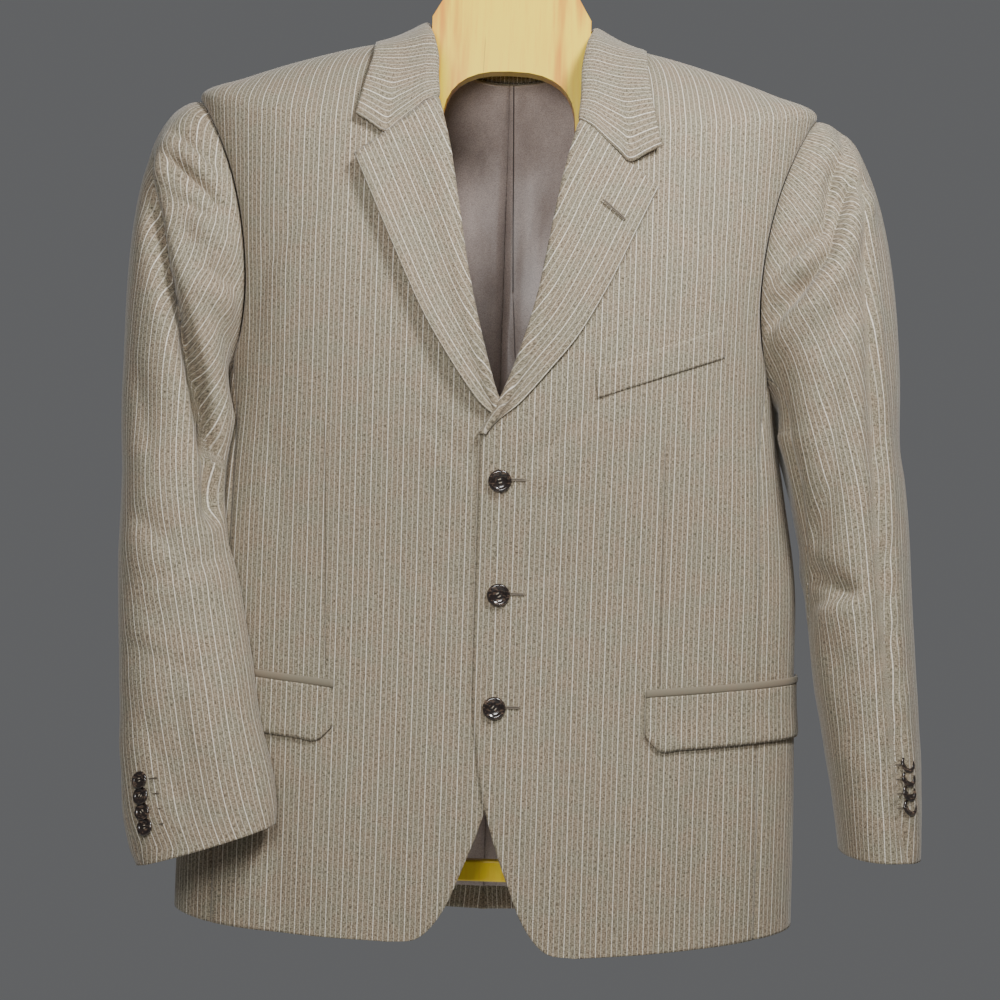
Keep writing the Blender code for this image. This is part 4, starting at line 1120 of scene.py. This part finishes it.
SLEEVE_CREASES = {
    RIGHT: (
        (-300, 655, -292, 612, 6, 6.0, -0.3),
        (-292, 612, -276, 552, 8, 17.0, -0.2),
        (-276, 552, -261, 512, 8, 25.0, -0.15),
        (-261, 512, -246, 462, 8, 28.0, -0.12),
        (-246, 462, -235, 405, 7, 26.0, -0.12),
        (-235, 405, -231, 350, 7, 14.0, -0.15),
        (-280, 672, -240, 640, 6, 4.0, 0.7),
        (-282, 648, -226, 600, 7, 6.4, 0.7),
        (-262, 610, -204, 574, 7, 5.0, 0.7),
        (-246, 556, -204, 530, 8, 5.0, 0.7),
        (-238, 520, -206, 440, 11, 3.0, -0.5),
        (-300, 470, -282, 400, 12, 2.2, 0.5),
        (-292, 350, -254, 322, 13, 3.0, 0.6),
        (-282, 296, -226, 318, 10, 2.4, 0.6),
        (-292, 246, -234, 226, 14, 2.2, -0.5),
        (-276, 186, -236, 110, 14, 2.4, 0.5),
        (-252, 210, -236, 150, 12, 2.0, -0.5),
    ),
    LEFT: (
        (236, 664, 262, 690, 6, 2.6, 0.7),
        (216, 630, 244, 660, 7, 2.4, 0.7),
        (214, 556, 234, 580, 7, 6.0, 0.6),
        (234, 580, 262, 606, 8, 10.0, 0.55),
        (262, 606, 276, 664, 7, 9.0, 0.45),
        (212, 510, 238, 544, 8, 7.0, 0.6),
        (238, 544, 268, 586, 9, 14.0, 0.45),
        (268, 586, 284, 640, 8, 13.0, 0.45),
        (284, 640, 282, 700, 6, 3.0, 0.6),
        (262, 500, 284, 540, 10, 2.6, 0.6),
        (292, 640, 297, 551, 5, 2.6, -0.8),
        (297, 551, 305, 450, 5, 3.6, -0.9),
        (305, 450, 317, 285, 6, 4.0, -0.9),
        (317, 285, 332, 138, 6, 3.6, -0.8),
        (332, 138, 340, 92, 6, 2.8, -0.6),
        (274, 470, 276, 400, 11, 4.4, 0.5),
        (276, 400, 262, 340, 11, 4.4, 0.5),
        (250, 330, 292, 304, 9, 5.0, 0.7),
        (262, 290, 298, 310, 8, 3.0, 0.6),
        (284, 262, 296, 180, 13, 3.0, 0.5),
        (306, 240, 318, 130, 10, 2.4, -0.5),
    ),
}
SLEEVE_BACK_CREASES = (
    # drawn on the back view for the wearer's left
    (222, 640, 262, 590, 9, 4.0, 0.6),
    (226, 590, 276, 500, 11, 6.0, 0.6),
    (276, 500, 296, 430, 11, 5.0, 0.6),
    (240, 470, 292, 400, 12, 4.0, 0.6),
    (262, 340, 320, 300, 10, 5.0, 0.7),
    (270, 296, 326, 314, 9, 3.6, 0.6),
    (296, 240, 322, 150, 14, 3.0, 0.5),
)
SLEEVE_AXIS = {
    # level cuts above the bicep: height, middle out, middle back, half width, half depth
    RIGHT: (
        (560, 246, -8, 66, 74),
        (640, 232, -4, 73, 62),
        (712, 222, 0, 62, 34),
    ),
    LEFT: (
        (560, 258, -8, 60, 76),
        (640, 236, -4, 70, 64),
        (712, 222, 0, 60, 34),
    ),
}
ARC_PARTS = 12  # steps that an arc round the sleeve is summed in
SLEEVE_SLANT = {
    # height, how far the grain has swung round the sleeve there, inside its long crease
    RIGHT: np.array(((340, 20), (420, 20), (570, -34), (600, -34), (712, 30)), float),
    LEFT: np.array(((90, 120), (380, 104), (500, 82), (712, 0)), float),
}
LONG_CREASE = {
    # height, distance from the centre: the grain breaks across this line
    RIGHT: np.array(((80, 150), (340, 200), (405, 233), (462, 246), (512, 261), (552, 276),
                     (612, 293), (655, 301), (720, 310)), float),
    LEFT: np.array(((80, 341), (138, 332), (285, 317), (450, 305), (551, 297), (640, 292),
                    (720, 290)), float),
}  # fmt: skip


def sleeve_flat(points, side):
    """Where the sleeve's cloth lies when flat: arc round its level cut from the outer edge,
    which is an ellipse about the sleeve's middle line, then height. In front, inside the long
    crease, the grain swings with height."""
    low = SLEEVES[side][::-1][:, :5]
    table = np.concatenate([low, np.array(SLEEVE_AXIS[side], float)])
    x, h = points[..., 0], points[..., 2]
    axis_x, axis_y, half_w, half_d = np.moveaxis(through(table[:, 0], table[:, 1:], h), -1, 0)
    turn = np.arctan2((axis_y - points[..., 1]) / half_d, (x - axis_x) / half_w)
    turn = np.where(turn < -math.pi * 0.55, turn + 2 * math.pi, turn)
    parts = turn[..., None] * (np.arange(ARC_PARTS) + 0.5) / ARC_PARTS
    speed = np.hypot(half_w[..., None] * np.sin(parts), half_d[..., None] * np.cos(parts))
    inside = 1 - smooth(x - np.interp(h, *LONG_CREASE[side].T), -1.5, 1.5)
    swing = through(*SLEEVE_SLANT[side].T, h)
    return np.stack([turn * speed.mean(-1) + swing * inside * smooth(turn, 0.0, 0.8), h], -1)


# How far each piece's stripes start from its edge, or from the front's own stripes.
STRIPE_SHIFTS = {"side": 1.6, "upper": 0.0, "under": 2.1, "lapel": 1.2, "welt": 0.5}
SEAM_CALM = 14  # folds fade out this near to a sleeve's seams
LINING_DEPTH = LAYER_GAP + LINING_WALL + 2.2  # the loose lining's inner face, inside the body's
LINING_LOOK_WALL = 0.6
LINING_LOOSE = (120, 215)  # loose up to this far from the centre, and held from there on
LINING_SLACK = 1.4  # how far the loose part hangs in
TUCK_PLACE = 7  # the centre tuck: distance from the centre, width, depth, levels it grows over
TUCK_WIDTH = 4.5
TUCK_DEPTH = 1.6
TUCK_LEVELS = (380, 500)
HEAD_CALM = (2, 26)  # a sleeve's folds grow over this distance below its head
HEAD_DIP = 1.2
HEAD_WIDTH = 3
FLAP_LOOK_WALL = 1.4
WELT_LOOK_WALL = 0.8
FLAP_ROLL = {LEFT: 1, RIGHT: 0.6}  # how much each flap's foot lifts


def add_body(name, side):
    """One half's front, side and back: the body's surface moved out by folds, waves and dips."""
    places = fine_places(front_places(side), *STEPS["front"])
    points = torso(places[..., 0], places[..., 1])
    rise = lap_rise(side, points[..., 0], points[..., 2])
    grid, flat = mirrored(side, skin(places, rise), laid_flat(places))
    out = drawn_folds(grid, FRONT_FOLDS[side], -1) + waves(grid, "front", side)
    edges = ("last", "top") if side == LEFT else ("first", "top")
    out += seam_dip(grid, edges, "body")
    add_cloth(f"front_{name}", moved_out(grid, out), flat, BODY_WALL)

    places = fine_places(side_places(), *STEPS["side"])
    grid, flat = mirrored(side, skin(places), laid_flat(places) + (STRIPE_SHIFTS["side"], 0))
    out = waves(grid, "side", side) + seam_dip(grid, ("first", "last", "top"), "body")
    add_cloth(f"side_{name}", moved_out(grid, out), flat, BODY_WALL)

    places = fine_places(back_places()[:, ::-1], *STEPS["back"])
    grid, flat = mirrored(side, skin(places), laid_flat(places))
    out = drawn_folds(grid, rows_for(side, BACK_FOLDS), 1) + waves(grid, "back", side)
    out += seam_dip(grid, ("first", "last", "top"), "body")
    add_cloth(f"back_{name}", moved_out(grid, out), flat, BODY_WALL)


def add_lining(name, side):
    """The lining that shows in the neck: loose, with a tuck at its centre and soft vertical folds."""
    places = fine_places(back_places()[:, ::-1][1:, 1:], 6, 8)
    grid, flat = mirrored(side, skin(places, -LINING_DEPTH), laid_flat(places))
    x, h = grid[..., 0], grid[..., 2]
    loose = 1 - smooth(np.abs(x), *LINING_LOOSE)
    wavy = waves(grid * (1, 1, 0.35), "lining long", side) + waves(grid, "lining short", side)
    bell = np.exp(-(((x - TUCK_PLACE) / TUCK_WIDTH) ** 2))
    tuck = TUCK_DEPTH * bell * smooth(h, *TUCK_LEVELS) * (side == LEFT)
    out = (wavy - LINING_SLACK) * loose - tuck
    add_cloth(f"lining_{name}", moved_out(grid, out), flat, LINING_LOOK_WALL, LINING)


def add_sleeve(name, side):
    """A sleeve's two pieces: finer rings, creases that fade by the seams, a pressed-in top."""
    upper = sleeve_grid(side, UPPER_ANGLES, SLEEVE_CUFF_FORE, SLEEVE_CUFF_HIND - 360)[::-1]
    under = sleeve_grid(side, UNDER_ANGLES, SLEEVE_CUFF_FORE, SLEEVE_CUFF_HIND)[::-1, ::-1]
    back_rows = rows_for(side, SLEEVE_BACK_CREASES)
    for kind, coarse in (("upper", upper), ("under", under)):
        grid = finer(coarse, *STEPS[kind])
        flat = sleeve_flat(grid, side)
        flat[..., 0] += STRIPE_SHIFTS[kind]
        grid, flat = mirrored(side, grid, flat)
        out = drawn_folds(grid, SLEEVE_CREASES[side], -1) + drawn_folds(grid, back_rows, 1)
        seam = run_along(grid, 1)
        out *= smooth(np.minimum(seam, seam.max(axis=1, keepdims=True) - seam), 0, SEAM_CALM)
        out += waves(grid, "sleeve", side) + seam_dip(grid, ("first", "last"), "sleeve")
        top = run_along(grid, 0)
        from_top = top.max(axis=0, keepdims=True) - top
        dip = HEAD_DIP * np.exp(-((from_top / HEAD_WIDTH) ** 2))
        out = out * smooth(from_top, *HEAD_CALM) - dip
        add_cloth(f"sleeve_{kind}_{name}", moved_out(grid, out), flat, SLEEVE_WALL)


def add_lapel(name, side):
    """The lapel's finer grid, dipped along its free edge and its head, with soft waves."""
    grid = finer(lapel_grid(side), 10, 6)
    across = run_along(grid, 1)
    across = across.max(axis=1, keepdims=True) - across
    flat = np.stack([across + STRIPE_SHIFTS["lapel"], run_along(grid, 0)], -1)
    grid, flat = mirrored(side, grid, flat)
    edge = "last" if side == LEFT else "first"
    out = seam_dip(grid, (edge,), "free edge") + seam_dip(grid, ("top",), "lapel head")
    grid = moved_out(grid, out + waves(grid, "lapel", side))
    add_cloth(f"lapel_{name}", grid, flat, LAPEL_WALL)


def add_collar():
    """The collar's two halves joined at the centre back, dipped along its edge and its ends."""
    left = collar_half(LEFT)
    right = collar_half(RIGHT) * (-1, 1, 1)
    middle = (left[-1] + right[-1]) / 2
    grid = finer(np.concatenate([left[:-1], middle[None], right[-2::-1]]), 8, 6)
    along = run_along(grid, 0).mean(axis=1, keepdims=True)
    along = np.broadcast_to(along, grid.shape[:2])
    flat = np.stack([along, run_along(grid, 1)], -1)
    out = seam_dip(grid, ("last",), "free edge") + seam_dip(grid, ("bottom", "top"), "collar end")
    add_cloth("collar", moved_out(grid, out), flat, COLLAR_WALL)


def add_pocket(name, side):
    """A flap dipped along three edges with a rolled foot, and a jet raised as a half round."""
    lift = BODY_WALL + POCKET_LIFT
    places = finer(flap_places(side, flap_foot, 0), 5, 6)
    grid, flat = mirrored(side, skin(places, lift), laid_flat(places))
    out = seam_dip(grid, ("first", "last", "bottom"), "flap") + waves(grid, "flap", side)
    out = out - seam_dip(grid, ("bottom",), "flap roll") * FLAP_ROLL[side]
    add_cloth(f"flap_{name}", moved_out(grid, out), flat, FLAP_LOOK_WALL)
    places = flap_places(side, lambda x: np.full(x.shape, LAYER_GAP), JET_HEIGHT)
    places = finer(places, 6, 6)
    jet, flat = mirrored(side, skin(places, lift), laid_flat(places)[..., ::-1])
    share = np.linspace(-1, 1, jet.shape[0])[:, None]
    jet = moved_out(jet, 0.9 * np.sqrt(1 - 0.98 * share**2))
    add_cloth(f"jet_{name}", jet, flat * 0 + (JET_BRIGHT, 0), TRIM_WALL)


def add_breast_welt():
    """The welt: a patch between four corners of the front view, laid on the front."""
    low_in, low_out, high_out, high_in = np.array(WELT_CORNERS, float)
    u = np.linspace(0, 1, 60)[None, :, None]
    v = np.linspace(0, 1, 14)[:, None, None]
    face = (low_in * (1 - u) + low_out * u) * (1 - v) + (high_in * (1 - u) + high_out * u) * v
    places = on_front(face[..., 0], face[..., 1])
    grid = skin(places, BODY_WALL + 0.3)
    grid = moved_out(grid, seam_dip(grid, ("first", "last", "top"), "welt"))
    flat = laid_flat(places) + (STRIPE_SHIFTS["welt"], 0)
    add_cloth("breast_welt", grid, flat, WELT_LOOK_WALL)


# ---------------------------------------------------------------- buttons, stitches, hanger

BUTTON_PROFILE = np.array((
    # radius, height: shares of the button's own, from the dish's middle over the rim to the back
    (0.0, 0.56), (0.30, 0.56), (0.52, 0.60), (0.62, 0.74), (0.70, 0.93), (0.78, 1.00),
    (0.88, 0.98), (0.96, 0.80), (1.00, 0.52), (0.96, 0.25), (0.84, 0.06), (0.5, 0.0), (0.0, 0.0),
))  # fmt: skip


def ring_quads(steps, rings):
    """Faces between closed rings of points, each ring joined to the next."""
    index = np.arange(rings * steps).reshape(-1, steps)
    after = np.roll(index, -1, axis=1)
    return np.stack([index[:-1], after[:-1], after[1:], index[1:]], -1).reshape(-1, 4)


def turned(profile, steps):
    """A profile carried round the z axis: points and four-sided faces, poles closed."""
    angle = np.linspace(0, 2 * math.pi, steps, endpoint=False)[None, :]
    radius, height = profile[:, :1], profile[:, 1:]
    ring = np.stack([radius * np.cos(angle), radius * np.sin(angle), height + 0 * angle], -1)
    return ring.reshape(-1, 3), ring_quads(steps, len(profile))[:, (0, 3, 2, 1)]


def joined(parts):
    """Several (points, quads, material number) as one list of each."""
    points, quads, slots, start = [], [], [], 0
    for part_points, part_quads, slot in parts:
        points.append(part_points)
        quads.append(part_quads + start)
        slots.append(np.full(len(part_quads), slot))
        start += len(part_points)
    return np.concatenate(points), np.concatenate(quads), np.concatenate(slots)


OFF_PATH = (0.02, 0.03, 1.0)  # a direction that no stitch runs along


def tube(path, radius, sides):
    """A round section carried along a path, its ends closed to a point."""
    path = np.asarray(path, float)
    ahead = unit(np.gradient(path, axis=0))
    aside = unit(np.cross(ahead, OFF_PATH))
    over = np.cross(aside, ahead)
    radius = np.broadcast_to(radius, len(path)).copy()
    radius[[0, -1]] = 0.0
    angle = np.linspace(0, 2 * math.pi, sides, endpoint=False)
    ring = aside[:, None] * np.cos(angle)[:, None] + over[:, None] * np.sin(angle)[:, None]
    points = path[:, None] + ring * radius[:, None, None]
    return points.reshape(-1, 3), ring_quads(sides, len(path))


DISH = 0.56  # the dish's level, a share of the button's height
HOLE_RING = 0.21  # where the holes lie and how wide they are, shares of its radius
HOLE_RADIUS = 0.105
HOLE_PROFILE = np.array(((0, 0.06), (0.8, 0.05), (1, 0.0)))  # shares of a hole's radius
STITCH_REACH = (0.72, 0.7)  # half its length and its place off the middle, shares of the hole ring
STITCH_RISE = 0.16  # of the button's height
STITCH_RADIUS = 0.055  # of its radius


def add_button(name, centre, facing, radius, height, tilt):
    """A dished button with four holes, each a near-black disc of painted shade, and two stitches,
    turned to face a direction.
    """
    shape, quads = turned(BUTTON_PROFILE * (radius, height), 48)
    parts = [(shape, quads, 0)]
    hole_ring = radius * HOLE_RING
    dish = height * DISH
    # Each hole is a flat near-black disc on the dish: painted shade, not an opening.
    for quarter in range(4):
        angle = math.pi / 4 + quarter * math.pi / 2
        disc, disc_quads = turned(HOLE_PROFILE * radius * HOLE_RADIUS, 14)
        disc = disc + (hole_ring * math.cos(angle), hole_ring * math.sin(angle), dish)
        parts.append((disc, disc_quads, 1))
    for way in (-1, 1):
        along = np.linspace(-1, 1, 9)[:, None]
        arch = height * STITCH_RISE * (1 - along**2)
        reach, aside = np.array(STITCH_REACH) * hole_ring
        line = np.concatenate([along * reach, 0 * along + way * aside, dish + arch], 1)
        parts.append((*tube(line, radius * STITCH_RADIUS, 8), 2))
    points, quads, slots = joined(parts)
    rotation = Vector(facing).to_track_quat("Z", "Y").to_matrix() @ Matrix.Rotation(tilt, 3, "Z")
    points = points @ np.array(rotation).T + centre
    looks = [HORN, HOLE_SHADE, BUTTON_THREAD]
    obj = add_mesh(f"{name}_fine", points, quads, points[:, :2] * 0, looks, slots)
    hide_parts(name)


def stitched_hole(start, end, half_width, raise_by=0.5):
    """A worked buttonhole between two points: two beaded rims of thread, with a thin near-black tube
    between them as the slit's painted shade.
    """
    start, end = np.asarray(start, float), np.asarray(end, float)
    run = end - start
    length = np.linalg.norm(run)
    ahead = run / length
    up = unit(np.cross((0.0, -1.0, 0.0), ahead)) * np.sign(ahead[0] or 1)
    share = np.linspace(0, 1, 61)[:, None]
    bead = half_width * (0.62 + 0.1 * np.sin(share[:, 0] * length * 5.2))
    parts = []
    for way in (-1, 1):
        close = 1 - np.abs(2 * share - 1) ** 10
        line = start + run * share + up * way * half_width * 0.62 * close + (0, -raise_by, 0)
        parts.append((*tube(line, bead, 8), 0))
    # The slit: a thin near-black tube, painted shade where the cloth opens.
    slit = start + run * (0.05 + 0.9 * share) + (0, -raise_by - 0.25, 0)
    parts.append((*tube(slit, half_width * 0.22, 6), 1))
    return parts


def add_stitches(name, parts):
    """Pieces of thread and the slit's painted shade joined as one mesh."""
    points, quads, slots = joined(parts)
    return add_mesh(name, points, quads, points[:, :2] * 0, [THREAD, HOLE_SHADE], slots)


def front_point(x, height, out):
    """A point on the front's outer face at this x and height, moved out by some millimetres."""
    place = on_front(np.array(float(x)), np.array(float(height)))
    return skin(place, out)


def cuff_frame(side, height, angle):
    """A point of the sleeve's inner face with the outward and upward directions there."""
    middle = sleeve_ring(side, height, angle)
    around = sleeve_ring(side, height, angle - 1) - sleeve_ring(side, height, angle + 1)
    upward = sleeve_ring(side, height + 1, angle) - sleeve_ring(side, height - 1, angle)
    return middle, unit(np.cross(around, upward)), unit(upward), unit(around)


# Where a buttonhole starts and ends, from its button's middle.
FRONT_STITCH = (2.0, 21.5)
CUFF_STITCH = {RIGHT: (4.0, 17.0), LEFT: (4.0, 13.0)}
LAPEL_HOLE = ((78, 618), (97, 602))  # x, height of its two ends


def add_buttons():
    """Each button on its solid's place, with its worked hole or stitches beside it."""
    for number, (x, height) in enumerate(FRONT_BUTTONS, 1):
        centre = front_point(x, height, BODY_WALL + LAP_RISE + LAYER_GAP)
        facing = torso_normal(on_front(np.array(x), np.array(height)))
        name = f"button_front_{number}"
        size = (FRONT_BUTTON_RADIUS, FRONT_BUTTON_HEIGHT)
        add_button(name, centre, facing, *size, 0.3 * number)
        out = BODY_WALL + LAP_RISE - 0.2
        slit = [front_point(x + reach, height + 1.0, out) for reach in FRONT_STITCH]
        add_stitches(f"buttonhole_front_{number}", stitched_hole(*slit, 1.0))
    for name, side in SIDES.items():
        first, spacing, angle, stand_off = CUFF_BUTTONS[side]
        parts = []
        for number in range(4):
            height = first - spacing * number
            middle, outward, upward, around = cuff_frame(side, height, angle)
            tilt = math.radians(CUFF_BUTTON_TILT)
            facing = unit(outward * math.cos(tilt) + upward * math.sin(tilt))
            mirror = (side, 1, 1)
            label = f"button_cuff_{name}_{number + 1}"
            centre = (middle + outward * stand_off) * mirror
            size = (CUFF_BUTTON_RADIUS, CUFF_BUTTON_HEIGHT)
            add_button(label, centre, facing * mirror, *size, 0.4 + number)
            on_cloth = middle + outward * (SLEEVE_WALL + 0.1)
            ends = [(on_cloth - around * reach) * mirror for reach in CUFF_STITCH[side]]
            parts += stitched_hole(*ends, 0.6, 0.2)
        add_stitches(f"cuff_stitches_{name}", parts)


def lapel_out(x, height):
    """How far the lapel's outer face stands off the body's inner surface at a front point."""
    rows = lapel_grid(LEFT)
    flat = rows[..., (0, 2)].reshape(-1, 2)
    near = np.argsort(np.hypot(*(flat - (x, height)).T))[:4]
    return rows.reshape(-1, 3)[near, 1].min()


def add_lapel_hole():
    """The lapel's buttonhole, laid on its outer face between two points."""
    ends = [np.array((x, lapel_out(x, h) - LAPEL_WALL - 0.9, h)) for x, h in LAPEL_HOLE]
    add_stitches("buttonhole_lapel", stitched_hole(*ends, 0.8, 0.1))


BOARD_EDGE = 2.2  # width of the board's rounded edges
BOARD_EDGE_STEPS = 3
BOARD_EDGE_ANGLE = 50  # degrees: flatter edges stay


def add_hanger_looks():
    """The hanger's solids stay as they are, with steel on the hook, varnished wood on the rest, and
    rounded edges on the neck board.
    """
    for name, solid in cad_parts.items():
        if not name.startswith("hanger"):
            continue
        solid.data.materials.clear()
        solid.data.materials.append(STEEL if name == "hanger_hook" else WOOD)
        solid.data.polygons.foreach_set("use_smooth", np.ones(len(solid.data.polygons), bool))
        if name == "hanger_neck":
            soft = solid.modifiers.new("soft", "BEVEL")
            soft.width = BOARD_EDGE * MM
            soft.segments = BOARD_EDGE_STEPS
            soft.limit_method = "ANGLE"
            soft.angle_limit = math.radians(BOARD_EDGE_ANGLE)
        sharp = solid.modifiers.new("weighted", "WEIGHTED_NORMAL")
        sharp.keep_sharp = False


# ---------------------------------------------------------------- floor, light, camera

FLOOR_RADIUS = 1.5
FLOOR_LEVEL = -1.42
FLOOR_SIDES = 96
LIGHTS = (
    # name, place, aim, size, power
    ("key", (0.5, -0.9, 0.5), (-0.05, 0.0, -0.38), 0.3, 22),
    ("fill", (-0.2, -1.25, -0.2), (0.0, 0.0, -0.35), 0.35, 10),
    ("back", (0.4, 1.9, 0.9), (0.0, 0.0, -0.4), 1.4, 14),
)
WORLD_COLOUR = (0.62, 0.63, 0.65, 1.0)
WORLD_STRENGTH = 0.2
SENSOR = 36
LENS_SHARE = 1700 / 820  # focal length as a share of the frame's side
CAMERA_PLACE = (0.0033, -1.78, -0.507)
CAMERA_ROLL = 1.9  # degrees


def add_area(name, place, aim, size, power):
    """A square light at a place, turned to face its aim."""
    light = bpy.data.lights.new(name, "AREA")
    light.size = size
    light.energy = power
    obj = bpy.data.objects.new(name, light)
    bpy.context.scene.collection.objects.link(obj)
    turn = (Vector(aim) - Vector(place)).to_track_quat("-Z", "Y").to_matrix().to_4x4()
    obj.matrix_world = Matrix.Translation(place) @ turn


def add_stage():
    """A round floor, an even grey surround and three soft lights."""
    mesh = bpy.data.meshes.new("floor")
    angle = np.linspace(0, 2 * math.pi, FLOOR_SIDES, endpoint=False)
    level = np.full(FLOOR_SIDES, FLOOR_LEVEL)
    rim = np.stack([FLOOR_RADIUS * np.cos(angle), FLOOR_RADIUS * np.sin(angle), level], -1)
    mesh.from_pydata(rim.tolist(), [], [list(range(FLOOR_SIDES))])
    floor = bpy.data.objects.new("floor", mesh)
    floor.data.materials.append(FLOOR)
    bpy.context.scene.collection.objects.link(floor)
    world = bpy.data.worlds.new("studio")
    bpy.context.scene.world = world
    world.use_nodes = True
    background = world.node_tree.nodes["Background"]
    background.inputs["Color"].default_value = WORLD_COLOUR
    background.inputs["Strength"].default_value = WORLD_STRENGTH
    for row in LIGHTS:
        add_area(*row)


def add_camera():
    """A level camera in front of the blazer, rolled a little."""
    lens = bpy.data.cameras.new("camera")
    lens.lens = SENSOR * LENS_SHARE
    lens.sensor_width = SENSOR
    camera = bpy.data.objects.new("camera", lens)
    bpy.context.scene.collection.objects.link(camera)
    ahead = Vector((0, 1, 0)).to_track_quat("-Z", "Y").to_matrix().to_4x4()
    roll = Matrix.Rotation(math.radians(CAMERA_ROLL), 4, "Z")
    camera.matrix_world = Matrix.Translation(CAMERA_PLACE) @ ahead @ roll
    bpy.context.scene.camera = camera


for side_name, side_sign in SIDES.items():
    add_body(side_name, side_sign)
    add_lining(side_name, side_sign)
    add_sleeve(side_name, side_sign)
    add_lapel(side_name, side_sign)
    add_pocket(side_name, side_sign)
add_collar()
add_breast_welt()
add_buttons()
add_lapel_hole()
add_hanger_looks()
add_stage()
add_camera()
